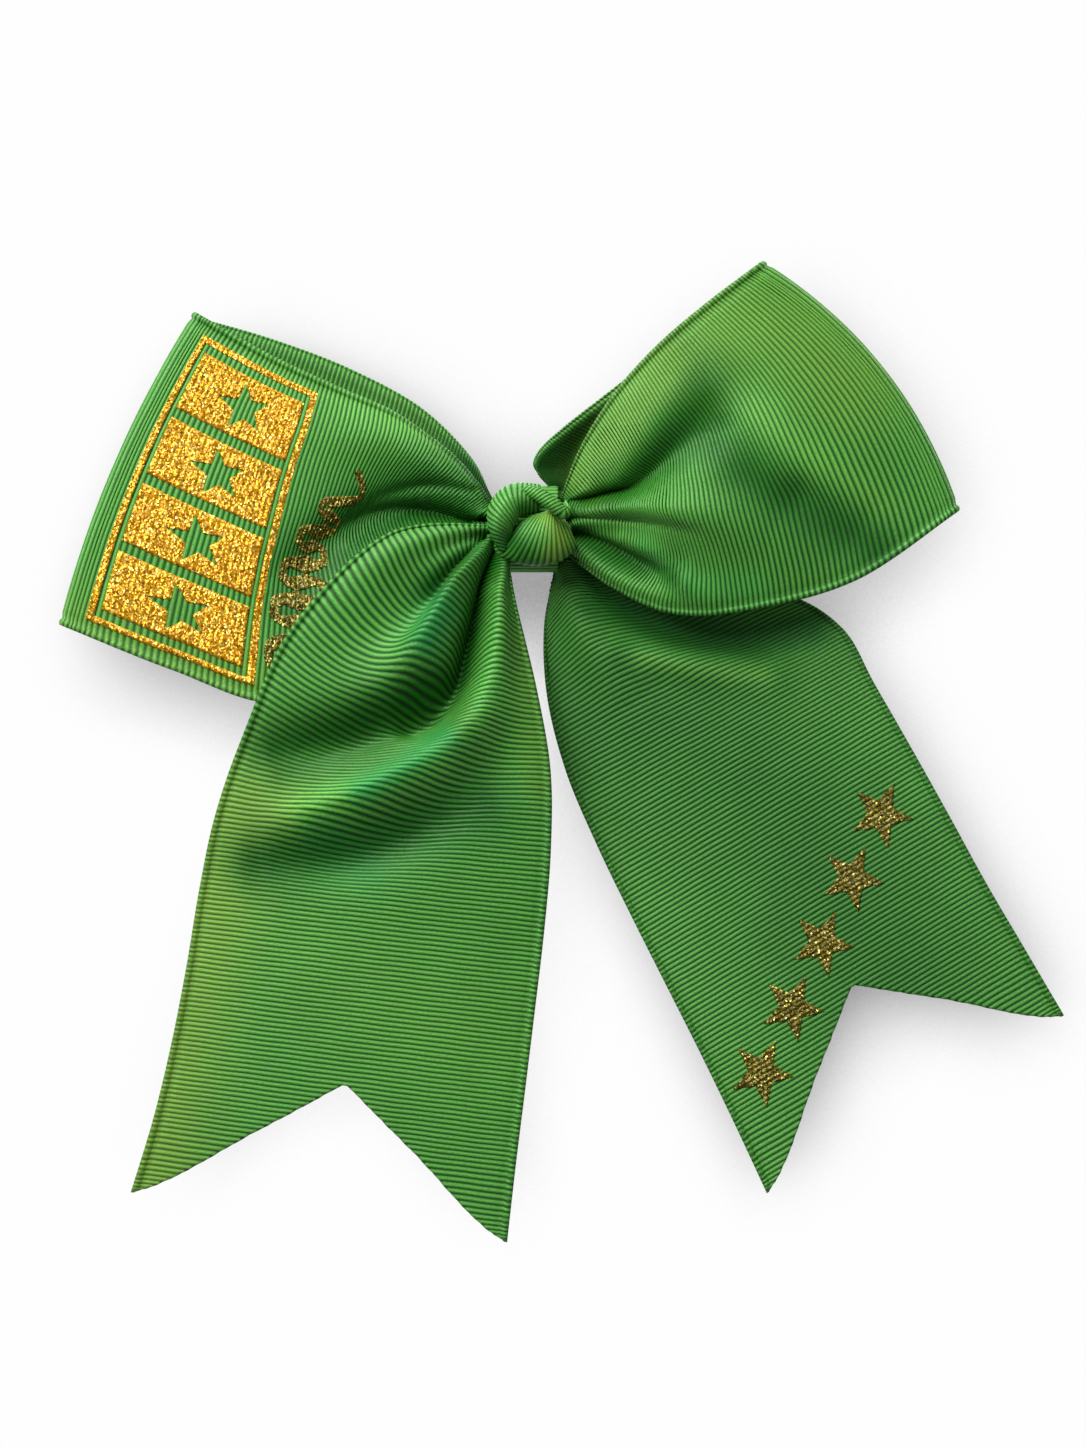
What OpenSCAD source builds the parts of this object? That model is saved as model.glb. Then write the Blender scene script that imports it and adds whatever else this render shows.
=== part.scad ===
// Cheer hair bow: a wide grosgrain ribbon folded into two loops and two tails,
// pinched in the middle, bound by a small knot and glued to an alligator hair clip.
// +Z is up as worn, the front faces -Y, and the origin is between the clip's jaws.

/* [Ribbon] */
// Width of the grosgrain ribbon
ribbon_w = 76.2; // [72:0.1:78]
// Thickness that the soft ribbon layers fill
ribbon_t = 1.5; // [1.2:0.1:1.8]
// Depth of the notch cut in each tail's end
notch_depth = 30; // [22:1:36]
// Radius of the turn at the outer end of a loop
loop_turn_r = 2.5; // [2:0.1:3]
// How far the left loop's outer fold bows out
left_fold_bow = 3; // [0:0.5:5]
// How far the right loop's outer fold bows out
right_fold_bow = 6.5; // [0:0.5:8]

/* [Knot and centre] */
// Length of the pinched centre along X
gather_len = 18; // [17:0.5:18]
// Depth of the pinched centre, front to back
gather_d = 8; // [7:0.1:8]
// Height of the pinched centre
gather_h = 15; // [13:0.1:15]
// Width of the elastic band round the centre
cinch_w = 4; // [3:0.5:6]
// Thickness of the elastic band
cinch_t = 0.8; // [0.6:0.1:0.8]
// Width of the knot ribbon's turn round the centre
wrap_w = 11; // [9:0.5:12]
// Thickness of the knot ribbon's turn
wrap_t = 0.9; // [0.6:0.1:0.9]

/* [Clip] */
// Length of the clip's jaws from the tips to the heel
jaw_len = 54; // [50:1:58]
// Width of the fixed jaw
jaw_w = 9; // [8:0.5:10]
// Thickness of the steel sheet
sheet_t = 0.8; // [0.7:0.1:0.9]
// Radius of the hinge pin
pin_r = 0.8; // [0.7:0.05:0.9]
// Running clearance of the hinge pin in the moving jaw
pin_gap = 0.05; // [0.03:0.01:0.08]
// Angle of the finger lever
lever_angle = 38; // [36:1:42]
// Length of the finger lever
lever_len = 13; // [10:1:15]
// Number of teeth on each edge of the moving jaw
tooth_count = 11; // [8:1:13]

/* [Glitter pieces] */
// Thickness of the glitter film
film_t = 0.3; // [0.25:0.01:0.4]
// Tip radius of a tail star
star_r = 7.6; // [6:0.1:8]
// Width of a badge plate along the loop
plate_w = 24; // [20:0.5:25]
// Height of a badge plate
plate_h = 14; // [12:0.5:15]

/* [Hidden] */
$fn = 48;

ribbon_green = [0.25, 0.52, 0.22];
glitter_gold = [0.88, 0.66, 0.14];
olive_gold = [0.50, 0.44, 0.12];
k = ribbon_w / 76.2;                  // The ribbon edges below suit a 76.2 mm ribbon

// Layers behind the ribbon, worked out forwards from the plane between the jaws
jaw_gap = 0.2;
liner_t = 0.5;
glue_t = 1;
felt_t = 1.2;
jaw_front = -jaw_gap - sheet_t;
liner_front = jaw_front - liner_t;
glue_front = liner_front - glue_t;
felt_front = glue_front - felt_t;
seat = 0.1;
wrap_back = felt_front - seat;
cinch_back = wrap_back - wrap_t - seat;
gather_back = cinch_back - cinch_t - seat;
gather_mid = gather_back - gather_d / 2;
wrap_front = gather_mid * 2 - wrap_back;

// Rows and columns of the soft sheets
rows = 12;
columns = 10;
turn_rows = 4;

// Ribbon edges from the knot outwards, each point [x, y, z]
left_loop_front_top = [
    [-12, -9.8, 5.5], [-17.5, -10.8, 16.5], [-29, -12, 24.8],
    [-43, -12, 31], [-57.5, -10.5, 38], [-72.3, -8.5, 46.6]
];
left_loop_front_bottom = [
    [-12, -9.8, -3], [-22, -10.8, -15.5], [-37, -12, -28],
    [-56, -11.5, -38], [-79, -10, -30.8], [-101.8, -8.5, -21.7]
];
left_loop_back_top = [
    [-12, -6.8, 7.5], [-20.4, -6, 21.9], [-31, -5, 30.5],
    [-44.5, -4, 37.9], [-58, -3.6, 42.5], [-72.3, -3.5, 46.6]
];
left_loop_back_bottom = [
    [-12, -6.8, -3], [-22, -6, -14], [-37, -5, -25.5],
    [-56, -4, -35.5], [-79, -3.6, -29.8], [-101.8, -3.5, -21.7]
];
right_loop_front_top = [
    [12, -13, 12.5], [16, -14.5, 26], [22, -16, 34.5],
    [29.5, -16, 41.5], [38.5, -14.5, 49.2], [48.2, -13, 56.9]
];
right_loop_front_bottom = [
    [12, -13, -6], [21, -14.5, -13.5], [34, -16, -18.8],
    [50, -16, -17.3], [71, -14.5, -11], [91.1, -13, 2.6]
];
right_loop_back_top = [
    [12, -9.8, 25], [13.5, -9.3, 28], [17, -9, 31],
    [26, -8.8, 37.5], [37, -8.4, 47], [48.2, -8, 56.9]
];
right_loop_back_bottom = [
    [12, -9.8, -4.5], [21, -9.3, -11.5], [34, -9, -16.5],
    [50, -8.8, -15.5], [70, -8.4, -9.8], [91.1, -8, 2.6]
];
left_tail_outer = [
    [-15, -13, -4.5], [-34, -17, -6], [-52, -18, -25], [-62.5, -18, -43.5],
    [-68.7, -16.8, -62], [-72.4, -15.5, -78.5], [-75.3, -14.5, -95.3],
    [-78.6, -14, -112], [-82.6, -13.7, -128.5], [-87.6, -13.5, -144.8]
];
left_tail_inner = [
    [-5.5, -13, -13], [-2.2, -16, -22], [2.2, -17, -38.5], [3.9, -16.5, -54],
    [3.5, -15.8, -70.5], [2.2, -15, -87.5], [0.4, -14.5, -104.5],
    [-1.7, -14, -121.8], [-3.8, -13.7, -138.8], [-5.7, -13.5, -155.7]
];
right_tail_inner = [
    [3.6, -7, -11.2], [2.6, -6.4, -22], [3.4, -6.2, -37.5], [7.5, -5.6, -53.5],
    [14, -5, -69], [21.6, -4.6, -84.7], [29.3, -4.2, -100],
    [37, -4, -115.3], [44.5, -3.8, -130.8], [51.7, -3.8, -146.3]
];
right_tail_outer = [
    [9.4, -7, -8.6], [32, -6, -12.5], [55, -5.8, -14], [68, -5.2, -21.5],
    [75.3, -4.8, -34], [83.5, -4.4, -48.2], [91.8, -4.2, -63],
    [100, -4, -77.9], [108.6, -3.8, -92.5], [117.2, -3.8, -107.1]
];
left_puff = 0.8;
right_puff = 6;
left_tail_puff = 2.5;
right_tail_puff = 1;

// Hinge pin centre and finger lever
pin_x = 17;
pin_y = 3.2;
ear_inner = jaw_w / 2 - sheet_t;
moving_w = 2 * (ear_inner - 0.2);
tip_x = -jaw_len / 2;
tooth_h = 0.9;

// Point at t (0 to 1) on a smooth curve through the points
function on_curve(points, t) =
    let(
        spans = len(points) - 1,
        i = min(floor(t * spans), spans - 1),
        f = t * spans - i,
        a = points[max(i - 1, 0)],
        b = points[i],
        c = points[i + 1],
        d = points[min(i + 2, spans)]
    )
    b + f * (c - a) / 2
        + pow(f, 2) * (a - 2.5 * b + 2 * c - 0.5 * d)
        + pow(f, 3) * (1.5 * (b - c) + 0.5 * (d - a));

function smooth(t) = t * t * (3 - 2 * t);

// Point between two edges: t runs along the ribbon, v across it from -1 to 1
function between(low_edge, high_edge, t, v, puff, bow) =
    let(
        low = on_curve(low_edge, t),
        high = on_curve(high_edge, t),
        side = (high - low) / norm(high - low),
        out = sign(low[0]) * [side[2], 0, -side[0]],
        swell = 1 - v * v
    )
    k * (low + (high - low) * (1 + v) / 2 + out * bow * swell * smooth(t))
        + [0, -puff * swell * sin(180 * pow(t, 0.8)), 0];

left_front = function(t, v) between(
    left_loop_front_bottom, left_loop_front_top, t, v, left_puff, left_fold_bow
);
left_back = function(t, v) between(
    left_loop_back_bottom, left_loop_back_top, t, v, 0, left_fold_bow
);
right_front = function(t, v) between(
    right_loop_front_bottom, right_loop_front_top, t, v, right_puff, right_fold_bow
);
right_back = function(t, v) between(
    right_loop_back_bottom, right_loop_back_top, t, v, 0, right_fold_bow
);

// How far along a tail the cut end lies at v, for the V notch
tail_length = 153;
function cut_at(v) = 1 - notch_depth / tail_length * (1 - abs(v));
left_tail_at = function(t, v) between(
    left_tail_outer, left_tail_inner, t, v, left_tail_puff, 0
);
right_tail_at = function(t, v) between(
    right_tail_inner, right_tail_outer, t, v, right_tail_puff, 0
);

// Unit normal of a grid of points at row i, column j
function grid_normal(g, i, j) =
    let(
        n = len(g) - 1,
        m = len(g[0]) - 1,
        along = g[min(i + 1, n)][j] - g[max(i - 1, 0)][j],
        across = g[i][min(j + 1, m)] - g[i][max(j - 1, 0)],
        c = cross(along, across)
    )
    c / norm(c);

function lifted(g, h) = [
    for (i = [0:len(g) - 1]) [
        for (j = [0:len(g[0]) - 1]) g[i][j] + h * grid_normal(g, i, j)
    ]
];

function flat_list(g) = [for (r = g) for (p = r) p];

// Faces of a closed slab between two grids of n rows and m columns
function slab_faces(n, m) =
    let(s = n * m)
    concat(
        [for (i = [0:n - 2]) for (j = [0:m - 2])
            [i * m + j, i * m + j + 1, (i + 1) * m + j + 1]],
        [for (i = [0:n - 2]) for (j = [0:m - 2])
            [i * m + j, (i + 1) * m + j + 1, (i + 1) * m + j]],
        [for (i = [0:n - 2]) for (j = [0:m - 2])
            [s + i * m + j, s + (i + 1) * m + j + 1, s + i * m + j + 1]],
        [for (i = [0:n - 2]) for (j = [0:m - 2])
            [s + i * m + j, s + (i + 1) * m + j, s + (i + 1) * m + j + 1]],
        [for (j = [0:m - 2]) [j, s + j, s + j + 1, j + 1]],
        [for (j = [0:m - 2]) let(b = (n - 1) * m + j) [b, b + 1, s + b + 1, s + b]],
        [for (i = [0:n - 2]) let(a = i * m) [a, a + m, s + a + m, s + a]],
        [for (i = [0:n - 2]) let(a = i * m + m - 1) [a, s + a, s + a + m, a + m]]
    );

// Closed slab that fills the space between two grids of points
module slab(front, back) {
    polyhedron(
        points = concat(flat_list(front), flat_list(back)),
        faces = slab_faces(len(front), len(front[0])),
        convexity = 6
    );
}

module sheet(grid, thickness) {
    slab(lifted(grid, thickness / 2), lifted(grid, -thickness / 2));
}

function column_v(j) = 2 * j / columns - 1;

// Rows of a loop: out along the front, round the fold, back behind
function loop_grid(front, back) = concat(
    [for (i = [0:rows]) [for (j = [0:columns]) front(i / rows, column_v(j))]],
    [for (r = [1:turn_rows - 1]) [
        for (j = [0:columns])
            let(
                a = 180 * r / turn_rows,
                f = front(1, column_v(j)),
                b = back(1, column_v(j)),
                inner = front(0.97, column_v(j)),
                away = (f - inner) / norm(f - inner)
            )
            (f + b) / 2 + (f - b) / 2 * cos(a) + away * loop_turn_r * sin(a)
    ]],
    [for (i = [0:rows]) [for (j = [0:columns]) back(1 - i / rows, column_v(j))]]
);

function tail_grid(skin) = [
    for (i = [0:rows]) [
        for (j = [0:columns])
            let(v = column_v(j)) skin(i / rows * cut_at(v), v)
    ]
];

module left_loop() {
    color(ribbon_green) sheet(loop_grid(left_front, left_back), ribbon_t);
}

module right_loop() {
    color(ribbon_green) sheet(loop_grid(right_front, right_back), ribbon_t);
}

module left_tail() {
    color(ribbon_green) sheet(tail_grid(left_tail_at), ribbon_t);
}

module right_tail() {
    color(ribbon_green) sheet(tail_grid(right_tail_at), ribbon_t);
}

// Block along X with rounded long edges, centred on the pinched middle
module rounded_block(length, depth, height, radius) {
    translate([-length / 2, gather_mid, 0])
        rotate([90, 0, 90])
            linear_extrude(length)
                rounded_outline(depth, height, radius);
}

// Rectangle with round corners, made of plain discs and squares
module rounded_outline(depth, height, radius) {
    square([depth - 2 * radius, height], center = true);
    square([depth, height - 2 * radius], center = true);
    for (sx = [-1, 1])
        for (sy = [-1, 1])
            translate([sx * (depth / 2 - radius), sy * (height / 2 - radius)])
                circle(radius);
}

module centre_gather() {
    color(ribbon_green) rounded_block(gather_len, gather_d, gather_h, 2.5);
}

// Band round the pinched middle, standing off it by a gap
module centre_band(width, gap, thickness) {
    grow = 2 * (gap + thickness);
    difference() {
        rounded_block(width, gather_d + grow, gather_h + grow, 2.5 + grow / 2);
        rounded_block(width + 2, gather_d + 2 * gap, gather_h + 2 * gap, 2.5 + gap);
    }
}

module cinch_band() {
    color([0.1, 0.1, 0.1]) centre_band(cinch_w, seat, cinch_t);
}

module knot_wrap() {
    color(ribbon_green) centre_band(wrap_w, cinch_t + 2 * seat, wrap_t);
}

// Closed roll along a curve: an oval section of half sizes a (radial) and b (depth)
roll_sides = 12;
function roll_ring(path, t, a, b) =
    let(
        p = on_curve(path, t),
        q = on_curve(path, min(t + 0.01, 1)) - on_curve(path, max(t - 0.01, 0)),
        along = q / norm(q),
        radial = cross(along, [0, 1, 0]),
        unit = radial / norm(radial),
        taper = sqrt(1 - pow(2 * t - 1, 8)) * 0.7 + 0.3
    )
    [for (s = [0:roll_sides - 1])
        let(w = 360 * s / roll_sides)
        p + unit * a * taper * cos(w) + [0, b * taper * sin(w), 0]];

module roll(path, a, b, rings) {
    points = [for (i = [0:rings]) each roll_ring(path, i / rings, a, b)];
    m = roll_sides;
    polyhedron(
        points = points,
        faces = concat(
            [for (i = [0:rings - 1]) for (s = [0:m - 1])
                [i * m + s, i * m + (s + 1) % m, (i + 1) * m + (s + 1) % m]],
            [for (i = [0:rings - 1]) for (s = [0:m - 1])
                [i * m + s, (i + 1) * m + (s + 1) % m, (i + 1) * m + s]],
            [[for (s = [0:m - 1]) m - 1 - s]],
            [[for (s = [0:m - 1]) rings * m + s]]
        ),
        convexity = 4
    );
}

roll_seat = 4.1;
knot_y = wrap_front - roll_seat;
module knot_fold() {
    path = [
        [-0.8, knot_y, 6.9], [-4.6, knot_y, 5.2], [-6.8, knot_y, 1.6],
        [-6.9, knot_y, -2], [-5.4, knot_y, -4.8]
    ];
    color(ribbon_green) roll(path, 2.2, 4, 10);
}

module knot_front() {
    path = [[-3.2, knot_y, -2.2], [2.2, knot_y - 0.2, -2.6], [8.3, knot_y + 0.2, -2]];
    color(ribbon_green) roll(path, 5.2, 4, 10);
}

module knot_twist() {
    path = [
        [1.9, knot_y, 7], [4, knot_y - 0.4, 6.6], [6, knot_y, 5.6], [7.6, knot_y, 4.8]
    ];
    color(ribbon_green) roll(path, 1.8, 3.4, 8);
}

// Flat plate with round ends, from y_low to y_high
module pad(length, height, y_low, y_high) {
    r = height / 2;
    translate([0, y_high, 0])
        rotate([90, 0, 0])
            linear_extrude(y_high - y_low)
                union() {
                    square([length - height, height], center = true);
                    for (s = [-1, 1])
                        translate([s * (length / 2 - r), 0]) circle(r);
                }
}

module felt_backing() {
    color([0.16, 0.33, 0.15]) pad(28, 12, felt_front, glue_front);
}

module glue_pad() {
    color([0.93, 0.9, 0.8]) pad(24, 8, glue_front, liner_front);
}

module clip_liner() {
    color(ribbon_green)
        translate([tip_x, liner_front, -jaw_w / 2])
            cube([jaw_len - 2, liner_t, jaw_w]);
}

// Ear of sheet steel that carries the pin, centred at height z
module ear(z, y_low, radius, hole) {
    translate([pin_x, pin_y, z - sheet_t / 2])
        difference() {
            union() {
                cylinder(h = sheet_t, r = radius);
                translate([-radius, y_low - pin_y, 0])
                    cube([2 * radius, pin_y - y_low, sheet_t]);
            }
            translate([0, 0, -1]) cylinder(h = sheet_t + 2, r = hole);
        }
}

module clip_fixed_jaw() {
    corner_angle = 20;
    cutter = 16;
    cutter_h = 6;
    ear_r = 2;
    color("silver") {
        difference() {
            translate([tip_x, jaw_front, -jaw_w / 2])
                cube([jaw_len, sheet_t, jaw_w]);
            for (s = [-1, 1])
                translate([tip_x, jaw_front - 1, s * jaw_w / 2])
                    rotate([0, s * corner_angle, 0])
                        translate([-cutter / 2, 0, s > 0 ? 0 : -cutter_h])
                            cube([cutter, sheet_t + 2, cutter_h]);
        }
        for (s = [-1, 1])
            ear(s * (ear_inner + sheet_t / 2), jaw_front, ear_r, pin_r);
    }
}

tooth_t = 0.6;
module tooth_row(z) {
    pitch = (jaw_len / 2 + pin_x - 12) / tooth_count;
    for (i = [0:tooth_count - 1])
        translate([tip_x + 1 + i * pitch, 0.1, z])
            linear_extrude(tooth_t)
                polygon([[0, tooth_h + 0.1], [pitch / 2, 0], [pitch, tooth_h + 0.1]]);
}

module clip_moving_jaw() {
    heel_x = pin_x - 5;
    heel_len = 6.5;
    ear_r = 1.7;
    color("silver") {
        translate([tip_x, tooth_h, -moving_w / 2])
            cube([heel_x - tip_x, sheet_t, moving_w]);
        translate([heel_x - 0.1, tooth_h, -moving_w / 2])
            cube([heel_len + 0.1, sheet_t - 0.1, moving_w]);
        tooth_row(-moving_w / 2);
        tooth_row(moving_w / 2 - tooth_t);
        for (s = [-1, 1])
            ear(s * (moving_w - sheet_t) / 2, tooth_h, ear_r, pin_r + pin_gap);
        translate([heel_x + heel_len, tooth_h, -moving_w / 2])
            rotate([0, 0, lever_angle])
                translate([-0.3, 0, 0]) cube([lever_len, sheet_t, moving_w]);
    }
}

module clip_pivot_pin() {
    head_t = 0.5;
    head_r = pin_r + 0.4;
    pin_len = jaw_w + 0.2;
    color("gray")
        translate([pin_x, pin_y, -pin_len / 2]) {
            cylinder(h = pin_len, r = pin_r);
            translate([0, 0, -head_t]) cylinder(h = head_t, r = head_r);
            translate([0, 0, pin_len]) cylinder(h = head_t, r = head_r);
        }
}

// Torsion spring round the pin, its coil as a sleeve
module clip_spring() {
    coil_len = moving_w - 2 * sheet_t - 0.8;
    coil_r = 1.3;
    color("dimgray")
        translate([pin_x, pin_y, 0])
            difference() {
                translate([0, 0, -coil_len / 2]) cylinder(h = coil_len, r = coil_r);
                translate([0, 0, -coil_len]) cylinder(h = 2 * coil_len, r = pin_r + 0.1);
            }
}

// Film pieces are laid out in mm around a centre (t, v) on a ribbon skin:
// along the ribbon by layer_length, across it by half its width.
film_gap = 0.35;
function film_spot(skin, t, v, layer_length, along, across, level) =
    skin(t + along / layer_length, v + 2 * across / ribbon_w)
        - [0, ribbon_t / 2 + film_gap + level * film_t, 0];

function polar(r, a) = [r * cos(a), r * sin(a)];

// Radius of a rectangle's outline at angle a
function box_radius(width, height, a) =
    min(
        width / 2 / max(abs(cos(a)), 0.001),
        height / 2 / max(abs(sin(a)), 0.001)
    );

// Radius of a five-pointed star's outline at angle a
star_waist = 0.42;
function star_radius(r, a) =
    let(
        w = abs((a + 360) % 72 - 36) / 36,
        tip = [r, 0],
        waist = polar(r * star_waist, 36),
        b = 36 * (1 - w)
    )
    cross(waist, tip) / cross(waist - tip, polar(1, b));

// Film between two outlines, given as matching lists of [along, across]
module film_ring(skin, t, v, layer_length, outer, inner) {
    n = len(outer);
    rings = [outer, inner];
    points = [for (level = [0, 1]) for (i = [0:n - 1]) for (ring = rings)
        film_spot(skin, t, v, layer_length, ring[i][0], ring[i][1], level)];
    s = 2 * n;
    polyhedron(
        points = points,
        faces = [
            for (i = [0:n - 1])
                let(o = 2 * i, p = o + 1, q = 2 * ((i + 1) % n), r = q + 1)
                each [
                    [o, q, r], [o, r, p],
                    [s + o, s + r, s + q], [s + o, s + p, s + r],
                    [o, s + o, s + q], [o, s + q, q],
                    [p, r, s + r], [p, s + r, s + p]
                ]
        ],
        convexity = 6
    );
}

// Film inside one outline that every ray from the centre meets once
module film_fan(skin, t, v, layer_length, outline) {
    n = len(outline);
    rim = [for (level = [0, 1]) for (p = outline)
        film_spot(skin, t, v, layer_length, p[0], p[1], level)];
    hubs = [for (level = [0, 1]) film_spot(skin, t, v, layer_length, 0, 0, level)];
    polyhedron(
        points = concat(rim, hubs),
        faces = [
            for (i = [0:n - 1])
                let(j = (i + 1) % n)
                each [
                    [2 * n, i, j], [2 * n + 1, n + j, n + i],
                    [i, n + i, n + j], [i, n + j, j]
                ]
        ],
        convexity = 6
    );
}

// Film strip of half width w(f) along a path given by f, from 0 to 1
module film_strip(skin, t, v, layer_length, path, half_w, steps) {
    function row(i, level) =
        let(
            f = i / steps,
            p = on_curve(path, f),
            d = on_curve(path, min(f + 0.01, 1)) - on_curve(path, max(f - 0.01, 0)),
            side = [-d[1], d[0]] / norm(d) * half_w * (0.25 + 0.75 * sin(180 * f))
        )
        [for (q = [p - side, p + side])
            film_spot(skin, t, v, layer_length, q[0], q[1], level)];
    slab(
        [for (i = [0:steps]) row(i, 0)],
        [for (i = [0:steps]) row(i, 1)]
    );
}

loop_length = 92;
badge_t = 0.805;
outline_points = 60;
function box_outline(width, height) = [
    for (i = [0:outline_points - 1])
        let(a = 360 * i / outline_points) polar(box_radius(width, height, a), a)
];

module badge_outline() {
    border = 1.5;
    width = plate_w + 5;
    height = 4 * plate_h + 13.5;
    color(glitter_gold)
        film_ring(
            left_front, badge_t, 0, loop_length,
            box_outline(width, height),
            box_outline(width - 2 * border, height - 2 * border)
        );
}

// Plate number i (0 to 3, from the bottom) with a star cut through it
module badge_plate(i) {
    pitch = (4 * plate_h + 9) / 4;
    v = (i - 1.5) * pitch * 2 / ribbon_w;
    star = [for (j = [0:outline_points - 1])
        let(a = 360 * j / outline_points) polar(star_radius(plate_h * 0.4, a), a)];
    color(glitter_gold)
        film_ring(
            left_front, badge_t, v, loop_length, box_outline(plate_w, plate_h), star
        );
}

module badge_flourish() {
    path = [
        [5, -31], [6, -24], [-4, -19], [6, -11], [-5, -6], [4, 3], [-8, 8], [-3, 20]
    ];
    flourish_t = 0.545;
    half_stroke = 1.2;
    color(olive_gold)
        film_strip(left_front, flourish_t, 0, loop_length, path, half_stroke, 56);
}

// Star number i (0 to 4) of the row that climbs across the right tail
star_step_along = 8.85;
star_step_across = 13;
module tail_star(i) {
    t = 1 - (23.5 + i * star_step_along) / tail_length;
    v = (10.5 + i * star_step_across) * 2 / ribbon_w - 1;
    outline = [for (j = [0:9])
        polar(j % 2 == 0 ? star_r : star_r * star_waist, 36 * j + 54)];
    color(olive_gold)
        film_fan(right_tail_at, t, v, tail_length, outline);
}

left_loop();
right_loop();
left_tail();
right_tail();
centre_gather();
cinch_band();
knot_wrap();
knot_fold();
knot_front();
knot_twist();
felt_backing();
glue_pad();
clip_liner();
clip_fixed_jaw();
clip_moving_jaw();
clip_pivot_pin();
clip_spring();
badge_outline();
badge_plate(0);  // badge_plate_1
badge_plate(1);  // badge_plate_2
badge_plate(2);  // badge_plate_3
badge_plate(3);  // badge_plate_4
badge_flourish();
tail_star(0);  // tail_star_1
tail_star(1);  // tail_star_2
tail_star(2);  // tail_star_3
tail_star(3);  // tail_star_4
tail_star(4);  // tail_star_5
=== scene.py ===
"""Cheer hair bow in green grosgrain, with gold glitter film and an alligator clip.

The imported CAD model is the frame. Its soft solids are replaced by ribbed ribbon, film, felt and
glue, and its steel parts get their finish. Lengths in this file are in millimetres until a mesh
is made, and MM turns them into metres. +Z is up as worn and the front of the bow faces -Y.
"""

from __future__ import annotations

import logging
import math
from dataclasses import dataclass, field
from enum import Enum

import bmesh
import bpy
import numpy as np
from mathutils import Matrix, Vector
from mathutils.geometry import delaunay_2d_cdt

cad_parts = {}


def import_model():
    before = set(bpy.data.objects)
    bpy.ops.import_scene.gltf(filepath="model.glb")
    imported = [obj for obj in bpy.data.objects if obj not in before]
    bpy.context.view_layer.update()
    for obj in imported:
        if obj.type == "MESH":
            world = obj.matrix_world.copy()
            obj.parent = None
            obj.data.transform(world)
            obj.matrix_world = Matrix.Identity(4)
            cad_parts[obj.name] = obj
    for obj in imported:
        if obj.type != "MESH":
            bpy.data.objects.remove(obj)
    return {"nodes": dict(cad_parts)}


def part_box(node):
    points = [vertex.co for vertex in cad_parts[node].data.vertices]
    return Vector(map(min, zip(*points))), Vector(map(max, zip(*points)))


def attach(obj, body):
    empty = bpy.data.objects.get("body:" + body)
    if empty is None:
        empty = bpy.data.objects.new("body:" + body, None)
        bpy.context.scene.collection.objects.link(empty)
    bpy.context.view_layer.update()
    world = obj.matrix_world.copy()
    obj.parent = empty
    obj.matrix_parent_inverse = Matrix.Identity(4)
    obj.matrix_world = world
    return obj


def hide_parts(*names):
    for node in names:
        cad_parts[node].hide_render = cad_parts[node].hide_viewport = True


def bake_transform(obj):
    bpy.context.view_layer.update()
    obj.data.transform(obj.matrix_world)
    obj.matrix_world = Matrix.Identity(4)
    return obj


LOG = logging.getLogger("bow")
MM = 0.001
TAU = 2 * math.pi
TINY = 1e-9
Array = np.ndarray
Edge = tuple[tuple[float, float, float], ...]
Route = tuple[tuple[float, float], ...]
Hollows = tuple[tuple[Route, float, float, float], ...]


# ---------------------------------------------------------------- curves and grids


def spline(points: Array, t: Array) -> Array:
    """Reads a smooth curve through evenly spaced stations.

    Args:
        points: The stations, one a row.
        t: Places on the curve, from 0 to 1.

    Returns:
        One row for each t.
    """
    p = np.asarray(points, float)
    if p.ndim == 1:
        p = p[:, None]
    spans = len(p) - 1
    x = np.clip(np.asarray(t, float), 0, 1) * spans
    i = np.minimum(np.floor(x).astype(int), spans - 1)
    f = (x - i)[..., None]
    a, b = p[np.maximum(i - 1, 0)], p[i]
    c, d = p[i + 1], p[np.minimum(i + 2, spans)]
    bend = f**2 * (a - 2.5 * b + 2 * c - 0.5 * d) + f**3 * (1.5 * (b - c) + 0.5 * (d - a))
    return b + f * (c - a) / 2 + bend


def smooth_step(x: Array) -> Array:
    """Eases from 0 to 1 as x goes from 0 to 1."""
    x = np.clip(x, 0, 1)
    return x * x * (3 - 2 * x)


def unit(v: Array) -> Array:
    """Directions of vectors, one vector a row."""
    return v / np.linalg.norm(v, axis=-1, keepdims=True)


def grid_normals(p: Array) -> Array:
    """Unit normals of a grid of points, rows by columns."""
    along = np.gradient(p, axis=0)
    across = np.gradient(p, axis=1)
    n = np.cross(along, across)
    return n / np.maximum(np.linalg.norm(n, axis=2, keepdims=True), TINY)


def grid_quads(rows: int, cols: int) -> Array:
    """Four point numbers for each cell of a grid, rows by columns by 4."""
    index = np.arange(rows * cols).reshape(rows, cols)
    return np.stack([index[:-1, :-1], index[:-1, 1:], index[1:, 1:], index[1:, :-1]], axis=-1)


def grid_uv(s: Array, v: Array) -> Array:
    """UV places in metres of a grid's points, from its rows' and its columns' distances."""
    return np.stack(np.meshgrid(s, v, indexing="ij"), axis=-1).reshape(-1, 2) * MM


ROUTE_STEPS = 70


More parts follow.
